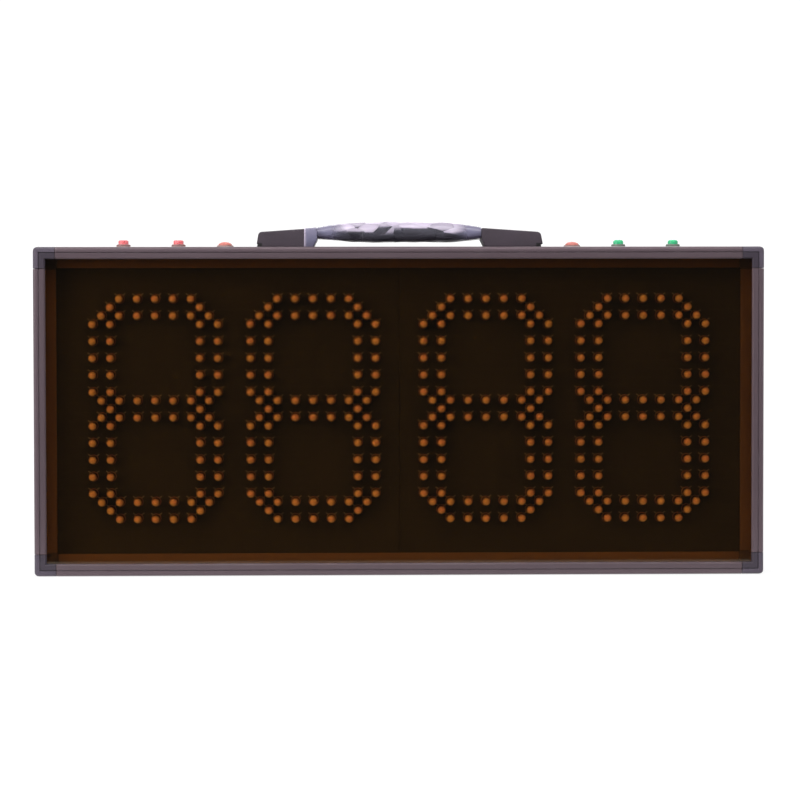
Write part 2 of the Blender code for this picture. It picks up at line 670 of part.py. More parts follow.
def make_leads(red, black):
    """Leads from the battery pack and from the power switch to the control board's terminals."""
    terminal_depth = PANEL_FRONT - STANDOFF_HEIGHT - SEAT - CIRCUIT_THICKNESS - TERMINAL_SIZE.z / 2
    terminal_height = CONTROL_PLACE.y + TERMINAL_HEIGHT
    reach = TERMINAL_PLACE + TERMINAL_SIZE.x / 2 + SEAT
    battery_end = Vector((CONTROL_PLACE.x - reach, terminal_depth, terminal_height))
    pack_top = BATTERY_PLACE.y + CELL_LENGTH / 2 + SEAT
    battery_start = Vector((BATTERY_PLACE.x, battery_depth() - BATTERY_LEAD_FORWARD, pack_top))
    leaving, arriving = Vector((0, 0, BATTERY_LEAD_PULL)), Vector((-TERMINAL_PULL, 0, 0))
    lead("battery_lead", battery_start, leaving, battery_end, arriving, red)
    switch_end = Vector((CONTROL_PLACE.x + reach, terminal_depth, terminal_height))
    switch_start = Vector((SWITCH_PLACE.x, BACK - SWITCH_BODY[2], SWITCH_PLACE.y))
    leaving, arriving = Vector((0, -SWITCH_LEAD_PULL, 0)), Vector((TERMINAL_PULL, 0, 0))
    lead("switch_lead", switch_start, leaving, switch_end, arriving, black)


def battery_depth():
    """The depth of the cells' axes, with the pack seated in its tray."""
    return PANEL_FRONT - SEAT - TRAY_WALL - SEAT - CELL_RADIUS


def make_battery(black, shrink):
    """Three cells side by side in a shrink sleeve, in a tray on the rear panel."""
    half_length = CELL_LENGTH / 2
    half_row = CELL_RADIUS * (CELL_COUNT - 1)
    outline = []
    for cell in range(CELL_COUNT):
        middle = half_row - 2 * CELL_RADIUS * cell
        start = 0 if cell == 0 else 60
        end = 180 if cell == CELL_COUNT - 1 else 120
        outline += arc((middle, 0), CELL_RADIUS, start, end, 4)
    outline += [(-x, -y) for x, y in outline[1:-1]]
    cells = mesh_from("cells", prism(outline, -half_length, half_length, upright))
    place("battery_pack", cells, shrink, (BATTERY_PLACE.x, battery_depth(), BATTERY_PLACE.y))

    half_width = half_row + CELL_RADIUS + SEAT
    half_height = half_length + SEAT
    tray_back = PANEL_FRONT - SEAT
    tray_front = tray_back - TRAY_WALL - TRAY_RIM
    location = (BATTERY_PLACE.x, 0, BATTERY_PLACE.y)
    tray_size = (2 * (half_width + TRAY_WALL), 2 * (half_height + TRAY_WALL))
    outer = rounded_rectangle(*tray_size, TRAY_CORNER_RADIUS)
    tray_mesh = mesh_from("tray", prism(outer, tray_front, tray_back, across))
    tray = place("battery_tray", tray_mesh, black, location)
    pocket_low = (-half_width, tray_front - MM, -half_height)
    pocket_high = (half_width, tray_back - TRAY_WALL, half_height)
    cut(tray, helper(block(pocket_low, pocket_high), location))


def hexagon(across_flats):
    radius = across_flats / 2 / cos(pi / 6)
    return [(radius * cos(pi * i / 3), radius * sin(pi * i / 3)) for i in range(6)]


def make_socket(black, steel):
    """A round charging socket: flange outside, thread through the panel, a blind bore with a centre pin."""
    seat = BACK + SEAT
    tip = seat - SOCKET_LENGTH
    mouth = seat + SOCKET_FLANGE_HEIGHT
    floor = mouth - SOCKET_BORE_DEPTH
    location = (SOCKET_PLACE.x, 0, SOCKET_PLACE.y)
    profile = [
        (0, tip), (SOCKET_THREAD_RADIUS, tip), (SOCKET_THREAD_RADIUS, seat), (SOCKET_FLANGE_RADIUS, seat),
        (SOCKET_FLANGE_RADIUS, mouth), (SOCKET_BORE_RADIUS, mouth), (SOCKET_BORE_RADIUS, floor),
        (SOCKET_PIN_RADIUS, floor), (SOCKET_PIN_RADIUS, mouth - 1.5 * MM), (0, mouth - 1.5 * MM),
    ]
    place("charge_socket", turned(profile, ROUND_SIDES, along_y=True), black, location)
    back = PANEL_FRONT - SEAT
    hexagonal = prism(hexagon(SOCKET_NUT_FLAT), back - NUT_THICKNESS, back, across)
    nut = place("charge_socket_nut", mesh_from("nut", hexagonal), steel, location)
    cut(nut, helper(rod(SOCKET_THREAD_RADIUS + SEAT, 0, BACK, ROUND_SIDES, along_y=True), location))


def rocker_outline():
    """The rocker's side view as (depth, height) about its pivot: a shallow V in front, a round back."""
    height = ROCKER_HALF_HEIGHT
    face = [(ROCKER_TIP, -height), (ROCKER_DIP, 0), (ROCKER_TIP, height)]
    back = arc((0, 0), ROCKER_BACK_RADIUS, 155, 205, 4)
    return face + [(ROCKER_SKIRT, height), *back, (ROCKER_SKIRT, -height)]


def make_switch(black, red):
    """A rocker switch: bezel and body in one, with a pocket for the rocker, which turns on stub pins."""
    width, height, bezel = SWITCH_BEZEL
    body_width, body_height, body_depth = SWITCH_BODY
    seat = BACK + SEAT
    location = (SWITCH_PLACE.x, 0, SWITCH_PLACE.y)
    outline = rounded_rectangle(width, height, SWITCH_BEZEL_RADIUS)
    bezel_mesh = mesh_from("bezel", prism(outline, seat, seat + bezel, across))
    body = place("power_switch_body", bezel_mesh, black, location)
    body_low = (-body_width / 2, seat - body_depth, -body_height / 2)
    body_high = (body_width / 2, seat + bezel / 2, body_height / 2)
    join(body, helper(block(body_low, body_high), location))
    pocket_width = ROCKER_HALF_WIDTH + RUN
    pocket_height = ROCKER_HALF_HEIGHT + ROCKER_SWING
    pocket_low = (-pocket_width, seat - SWITCH_POCKET_DEPTH, -pocket_height)
    pocket_high = (pocket_width, seat + 2 * bezel, pocket_height)
    cut(body, helper(block(pocket_low, pocket_high), location))
    pivot = (SWITCH_PLACE.x, seat, SWITCH_PLACE.y)
    pin_length = ROCKER_HALF_WIDTH + PIVOT_REACH
    hole_length = pin_length + RUN
    hole = rod(PIVOT_RADIUS + SEAT, -hole_length, hole_length, SCREW_SIDES)
    hole.transform(Matrix.Rotation(pi / 2, 4, "Y"))
    cut(body, helper(hole, pivot))

    rocker_shape = prism(rocker_outline(), -ROCKER_HALF_WIDTH, ROCKER_HALF_WIDTH, sideways)
    rocker = place("power_rocker", mesh_from("rocker", rocker_shape), red, pivot)
    rocker.rotation_euler = (ROCKER_TILT, 0, 0)
    pin = rod(PIVOT_RADIUS, -pin_length, pin_length, SCREW_SIDES)
    pin.transform(Matrix.Rotation(pi / 2, 4, "Y"))
    join(rocker, helper(pin, pivot))


# Push buttons


def button_body_mesh(kind):
    """Flange and threaded sleeve in one, with a recess for the cap and a bore for its stem, about the
    rail's top at Z = 0."""
    outer, edge = kind["flange_radius"], kind["edge"]
    top = kind["flange_height"]
    floor = top - kind["recess"]
    recess = kind["cap_radius"] + RUN
    bore = STEM_RADIUS + SEAT
    stem_floor = -STEM_LENGTH - kind["travel"]
    profile = [
        (0, -THREAD_LENGTH), (THREAD_RADIUS, -THREAD_LENGTH), (THREAD_RADIUS, SEAT), (outer, SEAT),
        (outer, top - edge), (outer - edge, top), (recess, top),
        (recess, floor), (bore, floor), (bore, stem_floor), (0, stem_floor),
    ]
    return turned(profile, ROUND_SIDES)


def cap_bottom(kind):
    return kind["flange_height"] - kind["recess"] + kind["travel"] + TRAVEL_SPARE


def button_cap_mesh():
    """A straight cap with a softened edge, on its stem."""
    low, top, radius = cap_bottom(BUTTON), BUTTON["cap_top"], BUTTON["cap_radius"]
    stem_end = BUTTON["travel"] - STEM_LENGTH
    profile = [(0, stem_end), (STEM_RADIUS, stem_end), (STEM_RADIUS, low), (radius, low)]
    profile += [(share * radius, top - drop) for share, drop in CAP_SHOULDER]
    return turned(profile + [(0, top)], ROUND_SIDES)


def dome_cap_mesh():
    """A cap that is a slice of a ball, on its stem."""
    low, top, radius = cap_bottom(DOME), DOME["cap_top"], DOME["cap_radius"]
    rise = top - low
    ball = (radius**2 + rise**2) / (2 * rise)
    heights = [rise * (1 - (1 - step / 4) ** 1.6) for step in range(1, 4)]
    crown = [(max(ball**2 - (height + ball - rise) ** 2, 0) ** 0.5, low + height) for height in heights]
    stem_end = DOME["travel"] - STEM_LENGTH
    stem = [(0, stem_end), (STEM_RADIUS, stem_end), (STEM_RADIUS, low), (radius, low)]
    return turned(stem + crown + [(0, top)], ROUND_SIDES)


def make_buttons(black, steel, red, orange, green):
    body = {"button": button_body_mesh(BUTTON), "dome": button_body_mesh(DOME)}
    red_cap, dome_cap = button_cap_mesh(), dome_cap_mesh()
    green_cap = red_cap.copy()
    under_rail = -WALL - SEAT
    nut_outline = hexagon(2 * (THREAD_RADIUS + NUT_WALL))
    hexagonal = prism(nut_outline, under_rail - NUT_THICKNESS, under_rail, upright)
    nut = place("nut", mesh_from("nut", hexagonal), steel)
    cut(nut, helper(rod(THREAD_RADIUS + SEAT, -THREAD_LENGTH, 0, ROUND_SIDES)))
    nut = finished(nut)
    layout = (
        ("red_button_outer", -BUTTON_PLACES[1], "button", red_cap, red),
        ("red_button_inner", -BUTTON_PLACES[0], "button", red_cap, red),
        ("dome_button_left", -DOME_PLACE, "dome", dome_cap, orange),
        ("dome_button_right", DOME_PLACE, "dome", dome_cap, orange),
        ("green_button_inner", BUTTON_PLACES[0], "button", green_cap, green),
        ("green_button_outer", BUTTON_PLACES[1], "button", green_cap, green),
    )
    for name, x, kind, cap, finish in layout:
        location = (x, 0, BOARD_HEIGHT)
        place(name + "_body", body[kind], black, location)
        place(name + "_nut", nut, steel, location)
        place(name + "_cap", cap, finish, location)


# Carrying handle


def grip_ring(x, grow=0.0):
    """A rounded section of the handle at x, made larger all round by grow."""
    share = 1 - min(abs(x) / MOUTH_PLACE, 1) ** 3
    top = GRIP_TOP_END + (GRIP_TOP_MIDDLE - GRIP_TOP_END) * share + grow
    under = GRIP_UNDER_END + (GRIP_UNDER_MIDDLE - GRIP_UNDER_END) * share - grow
    half_width = GRIP_HALF_WIDTH_END + (GRIP_HALF_WIDTH_MIDDLE - GRIP_HALF_WIDTH_END) * share + grow
    middle, half_height = (top + under) / 2, (top - under) / 2
    ring = []
    for i in range(GRIP_SIDES):
        angle = 2 * pi * (i + 0.5) / GRIP_SIDES
        c, s = cos(angle), sin(angle)
        y = half_width * abs(c) ** (2 / GRIP_SQUARENESS) * (1 if c > 0 else -1)
        z = middle + half_height * abs(s) ** (2 / GRIP_SQUARENESS) * (1 if s > 0 else -1)
        ring.append(Vector((x, y, z)))
    return ring


def spread_between(start, end, steps):
    return [start + (end - start) * i / steps for i in range(steps + 1)]


def handle_cap_mesh(finish):
    """The right end cap: a moulded shell that stands on the rail, open below, with a slot in its inner
    face for the strap's tongue and a step under its outer end, to lift it off by."""
    foot = SEAT
    outer = HANDLE_HALF_LENGTH
    slope = (CAP_TOP_OUTER - CAP_TOP_INNER) / (outer - MOUTH_PLACE)
    centre = (outer - CAP_LEAN - CAP_ROUNDING, CAP_TOP_OUTER - CAP_ROUNDING)
    outline = [(CAP_FOOT_PLACE, foot), (outer - NOTCH_DEPTH, foot)]
    outline += [(outer - NOTCH_DEPTH, foot + NOTCH_HEIGHT), (outer, foot + NOTCH_HEIGHT)]
    outline += arc(centre, CAP_ROUNDING, 0, 84, 4)
    outline += [(MOUTH_PLACE, CAP_TOP_INNER), (MOUTH_PLACE, MOUTH_UNDER)]
    half = HANDLE_WIDTH / 2
    cap = place("cap", mesh_from("cap", prism(outline, -half, half, across)), finish)
    edge = cap.modifiers.new("edge", "BEVEL")
    edge.width = CAP_EDGE
    edge.segments = 2
    edge.limit_method = "ANGLE"
    edge.angle_limit = radians(50)
    roof = CAP_TOP_OUTER - CAP_WALL
    inner_low, inner_high = cap_hollow()
    hollow = [(inner_low, -MM), (inner_high, -MM)]
    hollow += [(inner_high, roof - CAP_ROUNDING / 2), (inner_high - CAP_ROUNDING / 2, roof)]
    hollow += [(inner_low, roof - slope * (inner_high - inner_low))]
    inner_half = half - CAP_WALL
    cut(cap, helper(mesh_from("hollow", prism(hollow, -inner_half, inner_half, across))))
    slot_half = TONGUE_WIDTH / 2 + RUN
    slot_low = (MOUTH_PLACE - MM, -slot_half, TONGUE_UNDER - RUN)
    slot_high = (inner_low + MM, slot_half, TONGUE_TOP + RUN)
    cut(cap, helper(block(slot_low, slot_high)))
    return finished(cap)


def cap_hollow():
    """Where the right cap's hollow starts and ends along the rail."""
    return CAP_FOOT_PLACE + CAP_WALL, HANDLE_HALF_LENGTH - NOTCH_DEPTH - CAP_WALL


def handle_base_mesh(finish):
    """The right base plate, inside the cap's hollow, with a post for the strap's slot and two
    countersunk holes."""
    hollow_low, hollow_high = cap_hollow()
    low, high = hollow_low + SEAT, hollow_high - SEAT
    middle = (low + high) / 2
    width = HANDLE_WIDTH - 2 * (CAP_WALL + SEAT)
    outline = [(low, -width / 2), (high, -width / 2), (high, width / 2), (low, width / 2)]
    top = SEAT + BASE_THICKNESS
    base = place("base", mesh_from("base", prism(outline, SEAT, top, upright)), finish)
    post = rod(POST_RADIUS, SEAT + BASE_THICKNESS / 2, TONGUE_TOP + RUN, SCREW_SIDES)
    join(base, helper(post, (POST_PLACE, 0, 0)))
    head = COUNTERSUNK_HEAD_RADIUS + SEAT
    shank = SCREW_RADIUS + SEAT
    sink = top - COUNTERSUNK_HEAD_HEIGHT
    profile = [(0, -MM), (shank, -MM), (shank, sink), (head, top), (head, top + MM), (0, top + MM)]
    countersink = turned(profile, SCREW_SIDES)
    cut(base, helper(gathered(*[(countersink, (x, 0, 0)) for x in HANDLE_SCREW_PLACES])))
    return finished(base)


def strap_end_mesh(finish):
    """The right flexible end of the handle: a tapering section, then a tongue slotted for the post."""
    start, end = GRIP_HALF_LENGTH + SEAT, MOUTH_PLACE - SEAT
    rings = [grip_ring(x) for x in spread_between(start, end, 4)]
    strap = place("strap", mesh_from("strap", loft(rings)), finish)
    half = TONGUE_WIDTH / 2
    tongue_low = (end - SEAT, -half, TONGUE_UNDER)
    tongue_high = (end + TONGUE_LENGTH, half, TONGUE_TOP)
    join(strap, helper(block(tongue_low, tongue_high)))
    slot_half = POST_RADIUS + RUN
    slot_start = POST_PLACE - SLOT_LENGTH + slot_half
    slot_high = (POST_PLACE + slot_half, slot_half, TONGUE_TOP + MM)
    cut(strap, helper(block((slot_start, -slot_half, TONGUE_UNDER - MM), slot_high)))
    return finished(strap)


def film_mesh():
    """A thin wrap round the grip and the strap's ends, open at both ends."""
    xs = spread_between(-FILM_HALF_LENGTH, FILM_HALF_LENGTH, FILM_STEPS)
    bm = bmesh.new()
    walls = []
    for grow in (FILM_GAP + FILM_THICKNESS, FILM_GAP):
        walls.append([[bm.verts.new(point) for point in grip_ring(x, grow)] for x in xs])
    for wall in walls:
        for first, second in zip(wall, wall[1:]):
            for i in range(GRIP_SIDES):
                j = (i + 1) % GRIP_SIDES
                bm.faces.new((first[i], first[j], second[j], second[i]))
    for end in (0, -1):
        for i in range(GRIP_SIDES):
            j = (i + 1) % GRIP_SIDES
            bm.faces.new((walls[0][end][i], walls[0][end][j], walls[1][end][j], walls[1][end][i]))
    return mesh_from("film", bm)


def make_handle(black, vinyl, clear, steel):
    top = (0, 0, BOARD_HEIGHT)
    grip_rings = [grip_ring(x) for x in spread_between(-GRIP_HALF_LENGTH, GRIP_HALF_LENGTH, 6)]
    place("handle_grip", mesh_from("grip", loft(grip_rings)), vinyl, top)
    place("grip_film", film_mesh(), clear, top)
    pieces = (
        ("handle_cap", handle_cap_mesh(black), black),
        ("handle_base", handle_base_mesh(black), black),
        ("strap_end", strap_end_mesh(vinyl), vinyl),
    )
    half_turn = Matrix.Rotation(pi, 4, "Z")
    for name, mesh, finish in pieces:
        place(name + "_right", mesh, finish, top)
        mirrored = mesh.copy()
        mirrored.transform(half_turn)
        place(name + "_left", mirrored, finish, top)
    head_top = SEAT + BASE_THICKNESS
    sink = head_top - COUNTERSUNK_HEAD_HEIGHT
    tip = head_top - SCREW_LENGTH
    profile = [(0, tip), (SCREW_RADIUS, tip), (SCREW_RADIUS, sink)]
    profile += [(COUNTERSUNK_HEAD_RADIUS, head_top), (0, head_top)]
    screw = turned(profile, SCREW_SIDES)
    for number, x in enumerate(handle_screw_places(), 1):
        place(f"handle_screw_{number}", screw, steel, (x, 0, BOARD_HEIGHT))


def main():
    clear_scene()
    aluminium = material("grey_anodised_aluminium", (0.16, 0.13, 0.155), 0.42, 0.75)
    black_plastic = material("black_plastic", (0.055, 0.048, 0.056), 0.45)
    acrylic = material("amber_acrylic", (0.30, 0.12, 0.02), 0.05, transmission=0.9)
    circuit = material("black_circuit_board", (0.02, 0.018, 0.015), 0.5)
    steel = material("zinc_steel", (0.6, 0.6, 0.6), 0.3, 1.0)
    vinyl = material("black_vinyl", (0.05, 0.045, 0.05), 0.55)
    film = material("clear_film", (0.85, 0.83, 0.9), 0.15, transmission=0.8)
    red = material("red_plastic", (0.85, 0.08, 0.09), 0.35)
    orange = material("orange_red_rubber", (0.80, 0.22, 0.14), 0.5)
    green = material("green_plastic", (0.05, 0.62, 0.30), 0.35)
    shrink = material("blue_shrink_sleeve", (0.04, 0.12, 0.4), 0.4)
    cable = material("grey_ribbon_cable", (0.45, 0.45, 0.46), 0.6)

    make_frame(aluminium, black_plastic)
    make_window(acrylic)
    make_display(circuit)
    make_brace(steel)
    make_rear_panel(black_plastic, steel)
    make_control_board(circuit)
    make_cables(cable)
    make_battery(black_plastic, shrink)
    make_leads(red, black_plastic)
    make_socket(black_plastic, steel)
    make_switch(black_plastic, red)
    make_buttons(black_plastic, steel, red, orange, green)
    make_handle(black_plastic, vinyl, film, steel)


main()
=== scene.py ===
from math import cos, radians, sin, sqrt

import bpy
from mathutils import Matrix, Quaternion, Vector


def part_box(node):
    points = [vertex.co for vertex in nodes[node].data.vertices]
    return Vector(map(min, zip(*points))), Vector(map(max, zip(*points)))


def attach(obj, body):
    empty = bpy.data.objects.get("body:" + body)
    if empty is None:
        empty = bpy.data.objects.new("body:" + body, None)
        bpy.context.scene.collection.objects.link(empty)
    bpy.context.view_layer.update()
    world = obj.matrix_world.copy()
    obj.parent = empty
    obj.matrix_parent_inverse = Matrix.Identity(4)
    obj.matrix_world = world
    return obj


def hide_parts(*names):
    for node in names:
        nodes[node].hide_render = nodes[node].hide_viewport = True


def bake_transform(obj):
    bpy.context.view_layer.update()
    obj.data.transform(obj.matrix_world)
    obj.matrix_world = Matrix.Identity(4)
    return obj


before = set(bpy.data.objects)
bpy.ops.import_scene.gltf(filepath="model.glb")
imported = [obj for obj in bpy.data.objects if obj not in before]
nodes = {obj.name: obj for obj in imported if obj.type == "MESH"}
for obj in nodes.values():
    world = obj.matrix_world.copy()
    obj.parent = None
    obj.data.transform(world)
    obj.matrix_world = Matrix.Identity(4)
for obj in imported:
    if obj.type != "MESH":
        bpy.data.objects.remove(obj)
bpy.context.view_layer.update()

mm = 0.001
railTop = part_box("top_rail")[1].z
boardMiddle = railTop / 2
print("frame loaded:", len(nodes), "nodes")


# Small tools for modelling by operators

def dropSelection():
    if bpy.context.mode != "OBJECT":
        bpy.ops.object.mode_set(mode="OBJECT")
    bpy.ops.object.select_all(action="DESELECT")


def takeUp(piece):
    dropSelection()
    piece.select_set(True)
    bpy.context.view_layer.objects.active = piece


def startEdit(kind="FACE", everything=True):
    bpy.ops.object.mode_set(mode="EDIT")
    bpy.ops.mesh.select_mode(type=kind)
    bpy.ops.mesh.select_all(action="SELECT" if everything else "DESELECT")


def faceOut():
    bpy.ops.mesh.select_all(action="SELECT")
    bpy.ops.mesh.normals_make_consistent(inside=False)
    dropSelection()


def pick(piece, kind, wanted):
    # selects faces or vertices, each as wanted says
    startEdit(kind, everything=False)
    bpy.ops.object.mode_set(mode="OBJECT")
    for part in piece.data.polygons if kind == "FACE" else piece.data.vertices:
        part.select = wanted(part)
    bpy.ops.object.mode_set(mode="EDIT")


def dropFaces(piece, unwanted):
    pick(piece, "FACE", unwanted)
    bpy.ops.mesh.delete(type="FACE")
    dropSelection()


def named(piece, name):
    piece.name = piece.data.name = name
    return piece


def settle(piece):
    # moves the place, turn and scale into the mesh
    takeUp(piece)
    bpy.ops.object.transform_apply(location=True, rotation=True, scale=True)
    return piece


def addModifier(piece, kind, **settings):
    modifier = piece.modifiers.new(kind.lower(), kind)
    for label, value in settings.items():
        setattr(modifier, label, value)


def applyModifiers(piece):
    takeUp(piece)
    for modifier in list(piece.modifiers):
        bpy.ops.object.modifier_apply(modifier=modifier.name)


def soften(piece, width=0, segments=2, limit=30, smooth=35):
    # rounds edges over the limit and shades the rest smooth, both in degrees
    if width:
        addModifier(piece, "BEVEL", width=width, segments=segments, limit_method="ANGLE",
                    angle_limit=radians(limit))
        applyModifiers(piece)
    takeUp(piece)
    bpy.ops.object.shade_smooth_by_angle(angle=radians(smooth))
    if width:
        # keeps a flat face flat beside its rounded edge
        addModifier(piece, "WEIGHTED_NORMAL", keep_sharp=True)
        applyModifiers(piece)
    return piece


def joinAll(pieces, name):
    dropSelection()
    for piece in pieces:
        piece.select_set(True)
    bpy.context.view_layer.objects.active = pieces[0]
    bpy.ops.object.join()
    return named(bpy.context.object, name)


def copyAt(piece, place):
    copy = piece.copy()
    copy.data = piece.data.copy()
    copy.location = place
    bpy.context.scene.collection.objects.link(copy)
    return copy


def placeCopy(piece, place, name, turn=(0, 0, 0)):
    copy = named(copyAt(piece, place), name)
    copy.rotation_euler = turn
    return settle(copy)


def discard(*pieces):
    for piece in pieces:
        bpy.data.objects.remove(piece)


def cutBy(piece, cutter):
    addModifier(piece, "BOOLEAN", operation="DIFFERENCE", solver="EXACT", object=cutter)
    applyModifiers(piece)
    discard(cutter)


def evenSteps(start, end, count):
    return [start + (end - start) * step / count for step in range(count + 1)]


def ovalPoints(radius, height, across, up, angles):
    # points of an upright oval round (radius, height)
    return [(radius + across * cos(angle), height + up * sin(angle)) for angle in angles]


def camelName(words):
    first, *others = words.split("_")
    return first + "".join(word.title() for word in others)


melting = {"merge": 0.002 * mm, "flat": radians(0.6)}


def meltedCopy(node, name=None):
    # a clean copy of a CAD node's mesh, ready for finer edges
    piece = bpy.data.objects.new(name or camelName(node), nodes[node].data.copy())
    bpy.context.scene.collection.objects.link(piece)
    takeUp(piece)
    bpy.ops.mesh.customdata_custom_splitnormals_clear()
    startEdit()
    bpy.ops.mesh.remove_doubles(threshold=melting["merge"])
    bpy.ops.mesh.dissolve_limited(angle_limit=melting["flat"])
    dropSelection()
    return piece


def turnProfile(name, profile, sides, turn=(0, 0, 0)):
    # a turned piece, from (radius, height) pairs that start at its low end
    dropSelection()
    radius, height = profile[0]
    bpy.ops.mesh.primitive_circle_add(vertices=sides, radius=radius, fill_type="NGON",
                                      location=(0, 0, height))
    piece = settle(named(bpy.context.object, name))
    startEdit()
    for nextRadius, nextHeight in profile[1:]:
        bpy.ops.mesh.extrude_region_move(TRANSFORM_OT_translate={"value": (0, 0, nextHeight - height)})
        share = nextRadius / radius
        bpy.ops.transform.resize(value=(share, share, 1), center_override=(0, 0, nextHeight))
        radius, height = nextRadius, nextHeight
    faceOut()
    piece.rotation_euler = turn
    return settle(piece)


def blockBetween(name, low, high):
    dropSelection()
    low, high = Vector(low), Vector(high)
    bpy.ops.mesh.primitive_cube_add(size=1, location=(low + high) / 2, scale=high - low)
    return settle(named(bpy.context.object, name))


def finishPiece(piece, body, slotName, material, *replaced):
    piece.data.materials.clear()
    piece.data.materials.append(material)
    for face in piece.data.polygons:
        face.material_index = 0
    if replaced:
        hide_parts(*replaced)
    if body:
        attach(piece, body)
    return piece


def finerCopy(node, width, material, slotName="black_plastic", body="board", name=None, segments=2):
    # the CAD node's own shape with rounded edges, in its place
    piece = soften(meltedCopy(node, name), width, segments)
    return finishPiece(piece, body, slotName, material, node)


# Small tools for node trees

def fill(tree, socket, value):
    # links another socket to this one, or sets its value
    if isinstance(value, bpy.types.NodeSocket):
        tree.links.new(value, socket)
    elif socket.type == "RGBA":
        socket.default_value = (*value, 1.0)
    else:
        socket.default_value = value


def fillSockets(tree, node, **values):
    # sockets by name, with underscores for blanks
    for label, value in values.items():
        fill(tree, node.inputs[label.replace("_", " ")], value)


def addNode(tree, kind, **settings):
    # the node's own settings and its sockets
    node = tree.nodes.new(kind)
    for label, value in settings.items():
        if hasattr(node, label):
            setattr(node, label, value)
        else:
            fillSockets(tree, node, **{label: value})
    return node


def addInOrder(tree, kind, *values, **settings):
    node = addNode(tree, kind, **settings)
    for socket, value in zip(node.inputs, values):
        fill(tree, socket, value)
    return node.outputs[0]


def mathNode(tree, operation, first, second):
    return addInOrder(tree, "ShaderNodeMath", first, second, operation=operation)


def mixShaders(tree, factor, first, second):
    return addInOrder(tree, "ShaderNodeMixShader", factor, first, second)


def vectorMath(tree, operation, first, second=None):
    node = addNode(tree, "ShaderNodeVectorMath", operation=operation)
    fill(tree, node.inputs[0], first)
    if second is not None:
        fill(tree, node.inputs["Scale" if operation == "SCALE" else 1], second)
    return node.outputs["Value" if operation in ("DOT_PRODUCT", "LENGTH") else "Vector"]


def mixColours(tree, factor, first, second):
    node = addNode(tree, "ShaderNodeMix", data_type="RGBA")
    for index, value in ((0, factor), (6, first), (7, second)):
        fill(tree, node.inputs[index], value)
    return node.outputs[2]


def spreadOut(tree, value, low, high, fromLow=0.0, fromHigh=1.0):
    node = addNode(tree, "ShaderNodeMapRange", Value=value, From_Min=fromLow, From_Max=fromHigh,
                   To_Min=low, To_Max=high)
    return node.outputs["Result"]


def product(tree, first, *others):
    for other in others:
        first = mathNode(tree, "MULTIPLY", first, other)
    return first


def fromMiddle(tree, value, middle=0.0):
    return mathNode(tree, "ABSOLUTE", mathNode(tree, "SUBTRACT", value, middle), 0.0)


def objectPlace(tree):
    return tree.nodes.new("ShaderNodeTexCoord").outputs["Object"]


def facing(tree):
    return tree.nodes.new("ShaderNodeNewGeometry").outputs["Normal"]


def lightPath(tree):
    return tree.nodes.new("ShaderNodeLightPath").outputs


def partsOf(tree, vector):
    return addNode(tree, "ShaderNodeSeparateXYZ", Vector=vector).outputs


def noiseAt(tree, place, **settings):
    return addNode(tree, "ShaderNodeTexNoise", Vector=place, **settings).outputs[0]


def addBump(tree, height, strength, distance, **settings):
    return addNode(tree, "ShaderNodeBump", Height=height, Strength=strength, Distance=distance,
                   **settings).outputs[0]


def emptyMaterial(name):
    material = bpy.data.materials.new(name)
    material.use_nodes = True
    return material, material.node_tree, material.node_tree.nodes["Principled BSDF"]


# Shared effects, each a node group with named inputs and outputs

def newGroup(name, outputs, **inputs):
    # inputs are numbers or vectors with their first values, outputs are masks
    group = bpy.data.node_groups.new(name, "ShaderNodeTree")
    for label, value in inputs.items():
        kind = "NodeSocketFloat" if isinstance(value, float) else "NodeSocketVector"
        group.interface.new_socket(name=label, in_out="INPUT", socket_type=kind).default_value = value
    for label in outputs:
        group.interface.new_socket(name=label, in_out="OUTPUT", socket_type="NodeSocketFloat")
    return group, group.nodes.new("NodeGroupInput").outputs, group.nodes.new("NodeGroupOutput")


def placeGroup(tree, group, **values):
    node = tree.nodes.new("ShaderNodeGroup")
    node.node_tree = group
    fillSockets(tree, node, **values)
    return node.outputs


def makeGrainGroup():
    # fine grain and broad patches, drawn out along an axis by Stretch
    group, given, result = newGroup("surfaceGrain", ("Grain", "Patches"),
                                    Scale=900.0, Stretch=(1, 1, 1), Broad=0.06)
    drawn = vectorMath(group, "MULTIPLY", objectPlace(group), given["Stretch"])
    fine = noiseAt(group, drawn, Scale=given["Scale"], Detail=5.0, Roughness=0.6)
    broadScale = mathNode(group, "MULTIPLY", given["Scale"], given["Broad"])
    broad = noiseAt(group, drawn, Scale=broadScale, Detail=3.0, Roughness=0.55)
    fillSockets(group, result, Grain=fine, Patches=spreadOut(group, broad, 0.0, 1.0, 0.3, 0.7))
    return group


def makeWearGroup():
    # rubbed edges: where a rounded normal leaves the true one, broken up by noise
    group, given, result = newGroup("edgeWear", ("Mask",), Radius=0.0006, Amount=1.0)
    rounded = addNode(group, "ShaderNodeBevel", samples=4, Radius=given["Radius"]).outputs[0]
    same = vectorMath(group, "DOT_PRODUCT", rounded, facing(group))
    edge = spreadOut(group, same, 1.0, 0.0, 0.75, 0.97)
    chips = noiseAt(group, objectPlace(group), Scale=260.0, Detail=6.0, Roughness=0.7)
    broken = spreadOut(group, chips, 0.0, 1.0, 0.42, 0.68)
    fillSockets(group, result, Mask=product(group, edge, broken, given["Amount"]))
    return group


